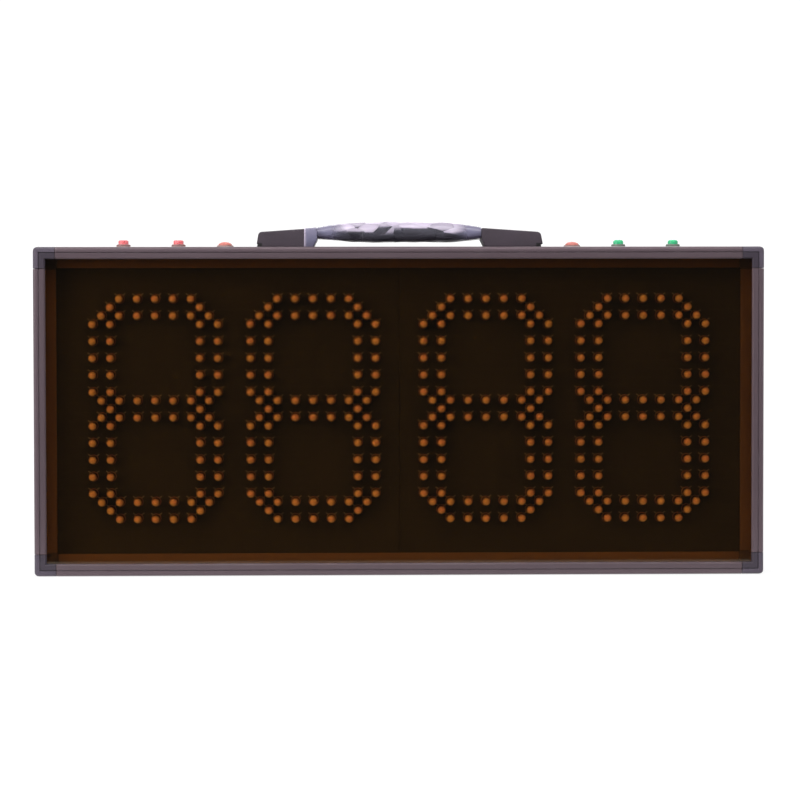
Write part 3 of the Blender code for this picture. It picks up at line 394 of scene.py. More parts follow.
def makeDustGroup():
    # specks and a thin haze that lie mostly on what faces up
    group, given, result = newGroup("dustSpecks", ("Mask",), Scale=700.0, Amount=1.0)
    place = objectPlace(group)
    specks = noiseAt(group, place, Scale=given["Scale"], Detail=3.0, Roughness=0.6)
    haze = noiseAt(group, place, Scale=45.0, Detail=3.0)
    upward = spreadOut(group, partsOf(group, facing(group))["Z"], 0.12, 1.0, 0.0, 0.8)
    either = mathNode(group, "MAXIMUM", spreadOut(group, specks, 0.0, 1.0, 0.62, 0.72),
                      spreadOut(group, haze, 0.0, 0.35, 0.45, 0.75))
    fillSockets(group, result, Mask=product(group, either, upward, given["Amount"]))
    return group


grainGroup = makeGrainGroup()
wearGroup = makeWearGroup()
dustGroup = makeDustGroup()


# Materials

dustColour = (0.42, 0.40, 0.40)
glowDepth = 2 * mm


def surfaceMaterial(name, colour, patches, roughness, depth, grain=900.0, bump=0.1, stretch=(1, 1, 1),
                    broad=0.06, metallic=0.0, paintedLight=None, wear=0.0, wearColour=None, wearRadius=0.5 * mm,
                    dust=0.0, glow=0.0, glowReach=None):
    # colour, patches, painted light and shade on one masked part, rubbed edges and dust on one Principled
    # shader
    material, tree, shader = emptyMaterial(name)
    surface = placeGroup(tree, grainGroup, Scale=grain, Stretch=stretch, Broad=broad)
    shown = mixColours(tree, surface["Patches"], colour, patches)
    # painted light and shade: a lit or shaded tone laid over the part that the mask picks
    if paintedLight:
        paint, mask = paintedLight
        shown = mixColours(tree, mask(tree), shown, paint)
    if wear:
        rubbed = placeGroup(tree, wearGroup, Radius=wearRadius, Amount=wear)
        shown = mixColours(tree, rubbed["Mask"], shown, wearColour)
    if dust:
        shown = mixColours(tree, placeGroup(tree, dustGroup, Amount=dust)["Mask"], shown, dustColour)
    fillSockets(tree, shader, Base_Color=shown, Metallic=metallic,
                Roughness=spreadOut(tree, surface["Grain"], *roughness, 0.3, 0.7),
                Normal=addBump(tree, surface["Grain"], bump, depth))
    if glow:
        fillSockets(tree, shader, Subsurface_Weight=glow, Subsurface_Radius=glowReach,
                    Subsurface_Scale=glowDepth)
    return material


# where each part of painted light and shade starts and ends along its axis, in metres
ledgeLightFades = {"across": (0.2150, 0.2165), "up": (0.0940, 0.0955), "front": (-0.0235, -0.0220),
             "back": (-0.0185, -0.0105), "right": (0.19, 0.21), "bottom": (0.01, 0.03)}
cornerShadeFades = {"across": (0.2166, 0.2170), "up": (0.0956, 0.0960), "front": (-0.0240, -0.0235)}
capShadeFades = {"across": (0.0828, 0.0834), "up": (railTop + 2.2 * mm, railTop + 3.0 * mm)}


def insideFrame(tree, parts, edges):
    # masks that end at the frame's inner edges, across and up
    across = spreadOut(tree, fromMiddle(tree, parts["X"]), 1.0, 0.0, *edges["across"])
    return across, spreadOut(tree, fromMiddle(tree, parts["Z"], boardMiddle), 1.0, 0.0, *edges["up"])


def paintedLedgeLight(tree):
    # painted light on the rails' faces behind the window, with painted shade fading it towards the boards,
    # and fainter at the right and the bottom where less light falls
    parts, edges = partsOf(tree, objectPlace(tree)), ledgeLightFades
    return product(tree, spreadOut(tree, parts["Y"], 0.0, 1.0, *edges["front"]),
                   spreadOut(tree, parts["Y"], 1.0, 0.15, *edges["back"]),
                   spreadOut(tree, parts["X"], 1.0, 0.55, *edges["right"]),
                   spreadOut(tree, parts["Z"], 0.85, 1.0, *edges["bottom"]),
                   *insideFrame(tree, parts, edges))


def paintedCornerShade(tree):
    # painted shade on the corners' inner band
    parts = partsOf(tree, objectPlace(tree))
    front = spreadOut(tree, parts["Y"], 1.0, 0.0, *cornerShadeFades["front"])
    return product(tree, front, *insideFrame(tree, parts, cornerShadeFades))


def paintedCapShade(tree):
    # painted shade on the handle caps' lower outer corners, as in a shadowed recess
    parts = partsOf(tree, objectPlace(tree))
    return product(tree, spreadOut(tree, fromMiddle(tree, parts["X"]), 0.0, 1.0, *capShadeFades["across"]),
                   spreadOut(tree, parts["Z"], 1.0, 0.0, *capShadeFades["up"]))


# the rails: the ledges behind the window get a painted lit brown tone
anodised = {
    "colour": (0.134, 0.094, 0.110), "patches": (0.112, 0.079, 0.093), "grain": 420.0, "broad": 0.05,
    "paintedLight": ((0.37, 0.220, 0.120), paintedLedgeLight), "roughness": (0.36, 0.50), "bump": 0.16,
    "depth": 0.05 * mm, "metallic": 0.4, "wear": 0.55, "wearColour": (0.34, 0.32, 0.34),
    "wearRadius": 0.35 * mm, "dust": 0.25,
}
anodisedAcross = surfaceMaterial("anodisedAcross", stretch=(0.03, 1, 1), **anodised)
anodisedUp = surfaceMaterial("anodisedUp", stretch=(1, 1, 0.03), **anodised)
# the corners' inner band gets painted shade, darker than the rest
cornerPlastic = surfaceMaterial(
    "cornerPlastic", (0.085, 0.066, 0.094), (0.071, 0.055, 0.079), grain=1500.0,
    paintedLight=((0.040, 0.029, 0.044), paintedCornerShade), roughness=(0.42, 0.56), bump=0.30, depth=0.06 * mm,
    wear=0.4, wearColour=(0.16, 0.15, 0.17), dust=0.25)
# the caps' lower outer corners get painted shade, near black
handlePlastic = surfaceMaterial(
    "handlePlastic", (0.062, 0.045, 0.061), (0.051, 0.037, 0.050), grain=1100.0,
    paintedLight=((0.006, 0.005, 0.006), paintedCapShade), roughness=(0.48, 0.66), bump=0.55, depth=0.12 * mm,
    wear=0.35, wearColour=(0.15, 0.14, 0.15), dust=0.35)
panelPlastic = surfaceMaterial(
    "panelPlastic", (0.030, 0.029, 0.032), (0.024, 0.023, 0.026), grain=1300.0, roughness=(0.42, 0.62),
    bump=0.5, depth=0.10 * mm, wear=0.3, wearColour=(0.10, 0.10, 0.11), dust=0.25)
collarCapLightTones = {"red": (0.33, 0.185, 0.175), "green": (0.19, 0.225, 0.185), "dome": (0.38, 0.22, 0.205)}
collarPlastics = {}
for kind, colour in collarCapLightTones.items():
    # translucent grey, with painted light: each is tinted with some of its cap's colour, as if the cap's
    # light came through
    collarPlastics[kind] = surfaceMaterial(
        kind + "Collar", colour, [0.84 * share for share in colour], grain=1600.0, roughness=(0.36, 0.50),
        bump=0.2, depth=0.05 * mm, dust=0.3)
vinyl = surfaceMaterial(
    "strapVinyl", (0.050, 0.046, 0.052), (0.042, 0.038, 0.044), grain=800.0, roughness=(0.5, 0.68),
    bump=0.6, depth=0.15 * mm, dust=0.1)
zincSteel = surfaceMaterial(
    "zincSteel", (0.56, 0.56, 0.55), (0.48, 0.47, 0.45), grain=700.0, roughness=(0.24, 0.40),
    bump=0.2, depth=0.03 * mm, metallic=1.0, wear=0.6, wearColour=(0.72, 0.72, 0.70))
nickel = surfaceMaterial(
    "nickelContact", (0.66, 0.63, 0.57), (0.58, 0.55, 0.49), roughness=(0.18, 0.30), depth=0.02 * mm,
    metallic=1.0)
redPlastic = surfaceMaterial(
    "redPlastic", (0.96, 0.235, 0.255), (0.91, 0.205, 0.22), roughness=(0.26, 0.38),
    bump=0.12, depth=0.04 * mm, glow=0.25, glowReach=(1.0, 0.25, 0.2), dust=0.15)
domeRubber = surfaceMaterial(
    "domeRubber", (0.64, 0.195, 0.160), (0.58, 0.17, 0.14), grain=1000.0, roughness=(0.40, 0.54),
    bump=0.2, depth=0.05 * mm, glow=0.2, glowReach=(1.0, 0.3, 0.2), dust=0.2)
greenPlastic = surfaceMaterial(
    "greenPlastic", (0.064, 0.61, 0.28), (0.052, 0.54, 0.24), roughness=(0.26, 0.38),
    bump=0.12, depth=0.04 * mm, glow=0.25, glowReach=(0.3, 1.0, 0.5), dust=0.15)
rockerRed = surfaceMaterial(
    "rockerRed", (0.55, 0.030, 0.030), (0.48, 0.025, 0.025), roughness=(0.24, 0.36),
    depth=0.04 * mm, dust=0.1)
# pale marks painted in as glints beside each lamp
paintedGlintTone = surfaceMaterial(
    "paintedGlintTone", (0.19, 0.185, 0.18), (0.13, 0.13, 0.125), roughness=(0.5, 0.6), depth=0.02 * mm)
sleeveBlue = surfaceMaterial(
    "sleeveBlue", (0.03, 0.10, 0.36), (0.025, 0.085, 0.31), grain=300.0, roughness=(0.28, 0.42),
    bump=0.4, depth=0.15 * mm)
insulation = {"roughness": (0.36, 0.48), "depth": 0.03 * mm}
redInsulation = surfaceMaterial(
    "redInsulation", (0.5, 0.03, 0.03), (0.44, 0.025, 0.025), **insulation)
blackInsulation = surfaceMaterial(
    "blackInsulation", (0.022, 0.022, 0.024), (0.018, 0.018, 0.02), **insulation)


def boardPlace(tree):
    # object coordinates turned so that a flat pattern lies on an upright board
    return addNode(tree, "ShaderNodeMapping", Vector=objectPlace(tree),
                   Rotation=(radians(90), 0, 0)).outputs[0]


def makeSolderMask():
    # black mask with faint patches, and buried tracks that show as slightly raised, lighter lines
    material, tree, shader = emptyMaterial("solderMask")
    grain = placeGroup(tree, grainGroup, Scale=500.0)
    tracks = addNode(tree, "ShaderNodeTexBrick", Vector=boardPlace(tree), Scale=1.0, Mortar_Smooth=0.2,
                     Mortar_Size=0.22 * mm, Brick_Width=10.8 * mm, Row_Height=5.17 * mm).outputs["Fac"]
    colour = mixColours(tree, grain["Patches"], (0.025, 0.026, 0.024), (0.020, 0.021, 0.020))
    colour = mixColours(tree, spreadOut(tree, tracks, 0.0, 0.6), colour, (0.034, 0.035, 0.032))
    fillSockets(tree, shader, Base_Color=colour, Roughness=spreadOut(tree, grain["Grain"], 0.42, 0.58),
                Normal=addBump(tree, tracks, 0.3, 0.05 * mm), Specular_IOR_Level=0.2)
    return material


# how far behind a lamp's tip its painted shade starts, and where it is dark
lampShadeDepth = {"shadeFrom": 2.6 * mm, "shadeAt": 3.2 * mm}


def makeLampEpoxy():
    # milky lens: each lamp a little warmer or paler, with a painted highlight as a bright core facing ahead,
    # a painted pale glow on its lower rim, and painted shade at its rim and behind its tip
    material, tree, shader = emptyMaterial("lampEpoxy")
    place, normal = objectPlace(tree), facing(tree)
    batch = noiseAt(tree, place, Scale=115.0, Detail=1.0)
    tone = spreadOut(tree, batch, 0.0, 1.0, 0.36, 0.64)
    colour = mixColours(tree, tone, (0.80, 0.42, 0.38), (0.74, 0.50, 0.31))
    # painted light: the lower rim paler, as where light gathers through the lens
    low = spreadOut(tree, partsOf(tree, normal)["Z"], 1.0, 0.0, -0.75, -0.15)
    colour = mixColours(tree, mathNode(tree, "MULTIPLY", low, 0.7), colour, (1.0, 0.84, 0.66))
    # painted highlight: a bright core where the lens faces ahead and a little down, and painted shade towards
    # its rim
    ahead = vectorMath(tree, "DOT_PRODUCT", normal, (0, -0.96, -0.28))
    paintedCore = mathNode(tree, "POWER", spreadOut(tree, ahead, 0.0, 1.0, 0.0, 0.92), 1.5)
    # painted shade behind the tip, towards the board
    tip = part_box("display_board_left")[0].y
    lens = spreadOut(tree, partsOf(tree, place)["Y"], 1.0, 0.32, tip + lampShadeDepth["shadeFrom"],
                     tip + lampShadeDepth["shadeAt"])
    colour = mixColours(tree, mathNode(tree, "MULTIPLY", paintedCore, lens), (0.012, 0.007, 0.006), colour)
    fillSockets(tree, shader, Base_Color=colour, Roughness=spreadOut(tree, batch, 0.18, 0.28),
                Specular_IOR_Level=0.3)
    return material


def makeAmberAcrylic():
    # tinted sheet: bends what is seen through it, and lets the lamps' light into the box
    material, tree, shader = emptyMaterial("amberAcrylic")
    tint = (0.69, 0.46, 0.20)
    smears = placeGroup(tree, grainGroup, Scale=60.0, Stretch=(1, 1, 0.5), Broad=0.3)
    fillSockets(tree, shader, Transmission_Weight=1.0, IOR=1.49,
                Base_Color=mixColours(tree, smears["Patches"], tint, [0.97 * share for share in tint]),
                Roughness=spreadOut(tree, smears["Grain"], 0.015, 0.04, 0.3, 0.8))
    clear = addNode(tree, "ShaderNodeBsdfTransparent", Color=[sqrt(share) for share in tint])
    either = mixShaders(tree, lightPath(tree)["Is Shadow Ray"], shader.outputs[0], clear.outputs[0])
    fillSockets(tree, tree.nodes["Material Output"], Surface=either)
    return material


filmLook = {"facets": 190.0, "turn": (0, radians(32), radians(8)), "drawn": (0.45, 1, 1),
            "ends": (0.032, 0.042), "cut": (-0.0574, -0.0560)}


def makeClearFilm():
    # crumpled clear wrap: flat facets that each lean their own way; those that lean up get a painted
    # highlight, pale and less see-through, dimmer along the creases, on some facets and towards the ends;
    # smooth and grey-blue towards the ends, with a painted highlight on its cut edge over the left cap
    material, tree, shader = emptyMaterial("clearFilm")
    place = objectPlace(tree)
    drawn = addNode(tree, "ShaderNodeMapping", Vector=place, Rotation=filmLook["turn"],
                    Scale=filmLook["drawn"]).outputs[0]
    facets, creases = [addNode(tree, "ShaderNodeTexVoronoi", feature=feature, Vector=drawn,
                               Scale=filmLook["facets"]) for feature in ("F1", "DISTANCE_TO_EDGE")]
    own, gap = facets.outputs["Color"], creases.outputs["Distance"]
    wander = noiseAt(tree, place, Scale=160.0, Detail=4.0)
    x = partsOf(tree, place)["X"]
    ends = spreadOut(tree, fromMiddle(tree, x), 0.0, 1.0, *filmLook["ends"])

    lean = vectorMath(tree, "SUBTRACT", own, (0.5, 0.5, 0.5))
    lean = vectorMath(tree, "SCALE", lean, spreadOut(tree, ends, 0.75, 0.15))
    leaned = vectorMath(tree, "NORMALIZE", vectorMath(tree, "ADD", facing(tree), lean))
    # painted highlight where a facet leans up, less towards the ends and on some facets, with painted shade
    # along the creases
    lit = product(tree, spreadOut(tree, partsOf(tree, leaned)["Z"], 0.0, 1.0, -0.02, 0.20),
                  spreadOut(tree, ends, 1.0, 0.15), spreadOut(tree, gap, 0.8, 1.0, 0.0, 0.12),
                  spreadOut(tree, partsOf(tree, own)["Y"], 0.55, 1.0, 0.0, 0.40))
    # painted highlight on the cut edge over the left cap
    lit = mathNode(tree, "MAXIMUM", lit, spreadOut(tree, x, 1.0, 0.0, *filmLook["cut"]))

    line = spreadOut(tree, gap, 0.2, 0.0, 0.0, 0.05)
    alpha = mathNode(tree, "ADD", spreadOut(tree, lit, 0.28, 0.95), line)
    alpha = mathNode(tree, "MAXIMUM", alpha, spreadOut(tree, ends, 0.0, 0.62))
    colour = mixColours(tree, ends, (0.17, 0.165, 0.21), (0.25, 0.24, 0.36))
    colour = mixColours(tree, lit, colour, (0.60, 0.52, 0.65))
    fillSockets(tree, shader, Base_Color=colour, Alpha=alpha, Roughness=spreadOut(tree, wander, 0.12, 0.26),
                Normal=addBump(tree, wander, 0.35, 0.3 * mm, Normal=leaned), IOR=1.5)
    return material


def makeControlMask():
    # the control board: green mask, tracks and plated dots
    material, tree, shader = emptyMaterial("controlMask")
    grain = placeGroup(tree, grainGroup, Scale=500.0)
    turned = boardPlace(tree)
    tracks = addNode(tree, "ShaderNodeTexBrick", offset=0.35, Vector=turned, Scale=1.0,
                     Mortar_Size=0.3 * mm, Brick_Width=9 * mm, Row_Height=2.6 * mm).outputs["Fac"]
    dots = addNode(tree, "ShaderNodeTexVoronoi", Vector=turned, Scale=260.0).outputs["Distance"]
    pad = spreadOut(tree, dots, 1.0, 0.0, 0.10, 0.16)
    colour = mixColours(tree, grain["Patches"], (0.012, 0.075, 0.030), (0.010, 0.060, 0.024))
    colour = mixColours(tree, tracks, colour, (0.03, 0.15, 0.06))
    fillSockets(tree, shader, Base_Color=mixColours(tree, pad, colour, (0.55, 0.50, 0.38)), Metallic=pad,
                Roughness=spreadOut(tree, grain["Grain"], 0.3, 0.45))
    return material


def makeRibbon():
    # flat cable: one ridge to each conductor, with painted shade between them
    material, tree, shader = emptyMaterial("ribbonCable")
    ridges = addNode(tree, "ShaderNodeTexWave", bands_direction="Z", Vector=objectPlace(tree),
                     Scale=125.0).outputs["Fac"]
    grain = placeGroup(tree, grainGroup, Scale=500.0)
    colour = mixColours(tree, grain["Patches"], (0.42, 0.42, 0.43), (0.36, 0.36, 0.37))
    # painted shade in the valleys between the conductors
    colour = mixColours(tree, spreadOut(tree, ridges, 0.5, 0.0), colour, (0.2, 0.2, 0.21))
    fillSockets(tree, shader, Base_Color=colour, Roughness=spreadOut(tree, grain["Grain"], 0.45, 0.6),
                Normal=addBump(tree, ridges, 0.6, 0.2 * mm))
    return material


solderMask = makeSolderMask()
lampEpoxy = makeLampEpoxy()
amberAcrylic = makeAmberAcrylic()
clearFilm = makeClearFilm()
controlMask = makeControlMask()
ribbonCable = makeRibbon()
print("materials made")


# Camera, floor, lamps and world

viewpoint = {"place": (-0.0307, -1.420, 0.1438), "yaw": 1.2615, "pitch": -1.5625, "roll": -0.09,
             "lens": 104.4, "sensor": 36, "near": 0.05}
studio = {
    "above": {"place": (0.0, -0.75, 1.25), "size": (1.6, 0.9), "power": 17.0},
    "left": {"place": (-1.3, -0.9, 0.55), "size": (0.9, 0.9), "power": 9.0},
    "right": {"place": (1.3, -0.9, 0.60), "size": (0.9, 0.9), "power": 1.0},
    "behind": {"place": (0.0, 1.2, 0.9), "size": (1.4, 0.8), "power": 8.0},
}
lampTarget = Vector((0, 0, 0.1))
room = {"floorSize": 24, "floorHeight": -0.4 * mm, "shadowReach": (0.72, 1.0), "frontEdge": (-0.120, -0.105),
        "dark": (0.040, 0.044, 0.050), "light": (0.55, 0.55, 0.56), "seen": (1.1, 1.1, 1.1), "shine": 1.12,
        "darkView": (-0.95, -0.45)}


def makeCamera():
    dropSelection()
    bpy.ops.object.camera_add(location=viewpoint["place"])
    camera = bpy.context.object
    camera.name = "viewCamera"
    yaw, pitch = radians(viewpoint["yaw"]), radians(viewpoint["pitch"])
    ahead = Vector((sin(yaw) * cos(pitch), cos(yaw) * cos(pitch), sin(pitch)))
    roll = Quaternion((0, 0, 1), radians(viewpoint["roll"]))
    camera.rotation_euler = (ahead.to_track_quat("-Z", "Y") @ roll).to_euler()
    camera.data.lens = viewpoint["lens"]
    camera.data.sensor_width = viewpoint["sensor"]
    camera.data.clip_start = viewpoint["near"]
    bpy.context.scene.camera = camera


def makeFloor():
    dropSelection()
    bpy.ops.mesh.primitive_plane_add(size=room["floorSize"], location=(0, 0, room["floorHeight"]))
    floor = settle(named(bpy.context.object, "paleFloor"))
    material, tree, shader = emptyMaterial("paleFloor")
    grain = placeGroup(tree, grainGroup, Scale=40.0)
    colour = mixColours(tree, grain["Patches"], (0.84, 0.84, 0.84), (0.83, 0.83, 0.83))
    fillSockets(tree, shader, Base_Color=colour, Roughness=0.9, Specular_IOR_Level=0.1)
    # white to the eye with the object's shadow kept; mirrors see the white behind the object and a dark front
    place, rays = objectPlace(tree), lightPath(tree)
    far = spreadOut(tree, vectorMath(tree, "LENGTH", place), *room["shadowReach"], 0.5, 1.6)
    behind = spreadOut(tree, partsOf(tree, place)["Y"], 0.0, 1.0, *room["frontEdge"])
    white = addNode(tree, "ShaderNodeEmission", Color=(1, 1, 1), Strength=room["shine"]).outputs[0]
    dark = addNode(tree, "ShaderNodeEmission", Color=room["dark"]).outputs[0]
    seen = mathNode(tree, "MAXIMUM", rays["Is Camera Ray"], rays["Is Transmission Ray"])
    toEye = mixShaders(tree, mathNode(tree, "MULTIPLY", seen, far), shader.outputs[0], white)
    toMirror = mixShaders(tree, rays["Is Glossy Ray"], toEye, mixShaders(tree, behind, dark, white))
    fillSockets(tree, tree.nodes["Material Output"], Surface=toMirror)
    floor.data.materials.append(material)


def makeLamps():
    for name, lamp in studio.items():
        dropSelection()
        bpy.ops.object.light_add(type="AREA", location=lamp["place"])
        light = bpy.context.object
        light.name = name + "Softbox"
        light.rotation_euler = (lampTarget - Vector(lamp["place"])).to_track_quat("-Z", "Y").to_euler()
        light.data.shape = "RECTANGLE"
        light.data.size, light.data.size_y = lamp["size"]
        light.data.energy = lamp["power"]


def makeWorld():
    # white to the eye, soft grey as light, and dark towards the viewer's side of the room
    world = bpy.data.worlds.new("whiteRoom")
    bpy.context.scene.world = world
    world.use_nodes = True
    tree = world.node_tree
    direction = partsOf(tree, tree.nodes.new("ShaderNodeTexCoord").outputs["Generated"])
    front = spreadOut(tree, direction["Y"], 1.0, 0.0, *room["darkView"])
    light = mixColours(tree, front, room["light"], room["dark"])
    colour = mixColours(tree, lightPath(tree)["Is Camera Ray"], light, room["seen"])
    fillSockets(tree, tree.nodes["Background"], Color=colour)


makeCamera()
makeFloor()
makeLamps()
makeWorld()
bpy.context.scene.view_settings.view_transform = "Standard"
print("stage made")


# Frame: rails, corners and window with finer edges

frameEdges = {"rail": 0.12 * mm, "corner": 0.30 * mm, "window": 0.25 * mm}


def makeFrame():
    for side in ("top", "bottom", "left", "right"):
        finish = anodisedAcross if side in ("top", "bottom") else anodisedUp
        finerCopy(side + "_rail", frameEdges["rail"], finish, "frame")
    for corner in ("top_left", "top_right", "bottom_left", "bottom_right"):
        finerCopy("corner_" + corner, frameEdges["corner"], cornerPlastic)
    finerCopy("window", frameEdges["window"], amberAcrylic, "window", name="tintedWindow")


makeFrame()
print("frame made")


# Display: two boards with their lamps

display = {
    "sides": 12, "radius": 2.65 * mm, "flange": 3.1 * mm, "flangeHeight": 1.0 * mm, "height": 8.6 * mm,
    "domeHeight": 2.5 * mm, "domeSteps": 3, "domeSweep": radians(82), "sink": 0.2 * mm,
    "across": 5.40 * mm, "up": 5.12 * mm, "aboveMiddle": 1.4 * mm,
    "figures": (-147.6 * mm, -52.3 * mm, 52.3 * mm, 147.6 * mm),
    "tick": (1.7 * mm, 0.7 * mm), "glintTurn": radians(-35), "glintAside": 2.7 * mm, "glintAbove": 2.8 * mm,
    "glintFront": 0.03 * mm, "sheet": 1.6 * mm, "sheetEdge": 0.15 * mm,
}


def lampSteps():
    # grid steps of the 84 lamps of one figure
    steps = []
    for up, reach in ((13, 4), (11, 6), (1, 6), (-1, 6), (-11, 6), (-13, 4)):
        steps += [(across, up) for across in range(-reach, reach + 1, 2)]
    for up in (10, 8, 6, 4, 2, -2, -4, -6, -8, -10):
        steps += [(across, up) for across in (-7, -5, 5, 7)]
    return steps + [(across, up) for up in (12, 0, -12) for across in (-5, 5)]


def makeLamp():
    d = display
    shoulder = d["height"] - d["domeHeight"]
    profile = [(d["flange"], -d["sink"]), (d["flange"], d["flangeHeight"]), (d["radius"], d["flangeHeight"]),
               (d["radius"], shoulder)]
    profile += ovalPoints(0, shoulder, d["radius"], d["domeHeight"],
                          evenSteps(0, d["domeSweep"], d["domeSteps"])[1:])
    lamp = turnProfile("lampLens", profile, d["sides"], turn=(radians(90), 0, 0))
    return soften(lamp, smooth=50)


def makePaintedGlints():
    # the two pale marks beside a lamp's head, painted in as glints of light
    d = display
    glints = []
    for side in (-1, 1):
        dropSelection()
        place = (side * d["glintAside"], -d["glintFront"], d["glintAbove"])
        turn = (radians(90), side * d["glintTurn"], 0)
        bpy.ops.mesh.primitive_plane_add(size=1, location=place, rotation=turn)
        tick = bpy.context.object
        tick.scale = (*d["tick"], 1)
        glints.append(settle(tick))
    return joinAll(glints, "lampGlints")


def makeDisplay():
    d = display
    # the sheet's front is where the lamps' feet are
    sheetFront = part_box("display_board_left")[0].y + d["height"]
    centre = boardMiddle + d["aboveMiddle"]
    lamp, glints = makeLamp(), makePaintedGlints()
    for number, middle in enumerate(d["figures"], 1):
        for pattern, name, finish in ((lamp, "figureLamps", lampEpoxy), (glints, "figureGlints", paintedGlintTone)):
            copies = [copyAt(pattern, (middle + across * d["across"], sheetFront, centre + up * d["up"]))
                      for across, up in lampSteps()]
            figure = settle(joinAll(copies, f"{name}{number}"))
            finishPiece(figure, "board", "circuit", finish)
    discard(lamp, glints)
    for node in ("display_board_left", "display_board_right"):
        low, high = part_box(node)
        sheet = blockBetween(camelName(node), (low.x, sheetFront, low.z),
                             (high.x, sheetFront + d["sheet"], high.z))
        soften(sheet, d["sheetEdge"])
        finishPiece(sheet, "board", "circuit", solderMask, node)


makeDisplay()
print("display made")


# Push buttons

buttons = {
    "button": {"sides": 32, "cap": 3.1 * mm, "capTop": 4.9 * mm, "flange": 4.3 * mm, "flangeTop": 2.2 * mm,
               "recess": 1.4 * mm, "travel": 1.2 * mm, "edge": 0.4 * mm},
    "dome": {"sides": 32, "cap": 4.25 * mm, "capTop": 3.8 * mm, "flange": 5.1 * mm, "flangeTop": 1.6 * mm,
             "recess": 0.8 * mm, "travel": 0.6 * mm, "edge": 0.25 * mm},
    "gap": 0.4 * mm, "seat": 0.3 * mm, "thread": 3.5 * mm, "threadLength": 12 * mm, "stem": 1.5 * mm,
    "stemLength": 8 * mm, "spare": 0.1 * mm, "bodyEdge": 0.06 * mm, "roundSteps": 7, "domeFoot": 0.2 * mm,
    "red": 0.9 * mm, "green": 1.3 * mm, "fall": 0.08 * mm, "topWidth": 0.3 * mm, "topFall": 0.03 * mm,
    "crownShare": 0.3, "tipShare": 0.08, "outer": 167.9 * mm, "inner": 134.4 * mm, "middle": 106.0 * mm,
}


def buttonBody(kind):
    b, k = buttons, buttons[kind]
    recess, floor = k["cap"] + b["gap"], k["flangeTop"] - k["recess"]
    bore, seat = b["stem"] + b["seat"], b["seat"]
    flange, top, edge = k["flange"], k["flangeTop"], k["edge"]
    profile = [
        (b["thread"], -b["threadLength"]), (b["thread"], seat), (flange, seat), (flange, top - edge),
        (flange - 0.3 * edge, top - 0.3 * edge), (flange - edge, top), (recess, top), (recess, floor),
        (bore, floor), (bore, -b["stemLength"] - k["travel"]),
    ]
    return soften(turnProfile(kind + "Body", profile, k["sides"]), b["bodyEdge"])


def buttonCap(kind, edge=0):
    # a rounded edge, or a whole dome without one
    b, k = buttons, buttons[kind]
    low = k["flangeTop"] - k["recess"] + k["travel"] + b["spare"]
    top, radius = k["capTop"], k["cap"]
    profile = [(b["stem"], k["travel"] - b["stemLength"]), (b["stem"], low), (radius, low)]
    angles = evenSteps(0, radians(90), b["roundSteps"])[1:-1]
    if edge:
        profile.append((radius, top - edge))
        profile += ovalPoints(radius - edge, top - edge - b["fall"], edge, edge, angles)
        profile += [(radius - edge - b["topWidth"], top - b["topFall"]), (b["crownShare"] * radius, top)]
    else:
        foot = low + b["domeFoot"]
        profile.append((radius, foot))
        profile += ovalPoints(0, foot, radius, top - foot, angles)
    profile.append((b["tipShare"] * radius, top))
    return soften(turnProfile(kind + "Cap", profile, k["sides"]), smooth=40)


def makeButtons():
    b = buttons
    bodies = {kind: buttonBody(kind) for kind in ("button", "dome")}
    caps = {"dome": buttonCap("dome")}
    for tone in ("red", "green"):
        caps[tone] = buttonCap("button", b[tone])
    layout = (
        ("red_button_outer", -b["outer"], "red", redPlastic, "red"),
        ("red_button_inner", -b["inner"], "red", redPlastic, "red"),
        ("dome_button_left", -b["middle"], "dome", domeRubber, "orange"),
        ("dome_button_right", b["middle"], "dome", domeRubber, "orange"),
        ("green_button_inner", b["inner"], "green", greenPlastic, "green"),
        ("green_button_outer", b["outer"], "green", greenPlastic, "green"),
    )
    for node, x, tone, finish, slotName in layout:
        name, place = camelName(node), (x, 0, railTop)
        body = placeCopy(bodies["dome" if tone == "dome" else "button"], place, name + "Body")
        finishPiece(body, "board", "black_plastic", collarPlastics[tone], node + "_body")
        pressed = placeCopy(caps[tone], place, name + "Cap")
        finishPiece(pressed, node + "_cap", slotName, finish, node + "_cap")
    discard(*bodies.values(), *caps.values())


makeButtons()
print("buttons made")


# Carrying handle

handle = {
    "mouth": 50 * mm, "gripEnd": 22 * mm, "topMiddle": 15.0 * mm, "topEnd": 11.7 * mm,
    "underMiddle": 4.9 * mm, "underEnd": 6.0 * mm, "halfWidthMiddle": 11 * mm, "halfWidthEnd": 9.4 * mm,
    "roundShare": 0.44, "roundSteps": 5, "gripSteps": 16, "endSteps": 12, "endFace": 0.9, "seat": 0.3 * mm,
    "tongueUnder": 5.9 * mm, "tongueThickness": 2.2 * mm, "tongueWidth": 16 * mm, "tongueLength": 24 * mm,
    "tongueRoot": 0.3 * mm, "post": 66 * mm, "slotLength": 12 * mm, "slotHalf": 2.4 * mm,
    "slotHeight": 14 * mm, "leanFrom": 82 * mm, "leanShare": {"left": 0.75, "right": 0.90},
    "leanFoot": 1.5 * mm, "wall": 1.8 * mm, "roof": 3 * mm, "capEdge": 0.18 * mm, "baseEdge": 0.15 * mm,
}
wrapping = {
    "end": 49.9 * mm, "overlap": 2.5 * mm, "steps": 40, "rise": 0.6 * mm, "riseLoss": 0.1 * mm,
    "sag": 1.1 * mm, "sagLoss": 0.65, "lap": 0.2 * mm, "thickness": 0.12 * mm,
    "foldSize": 0.016, "foldHeight": 0.7 * mm, "foldLevel": 0.5,
    "creaseSize": 0.015, "creaseHeight": 0.8 * mm, "creaseLevel": 0.45,
    "skirtEnd": 57.6 * mm, "skirtGap": 0.25 * mm, "endFace": 0.95, "underFace": 0.7,
}


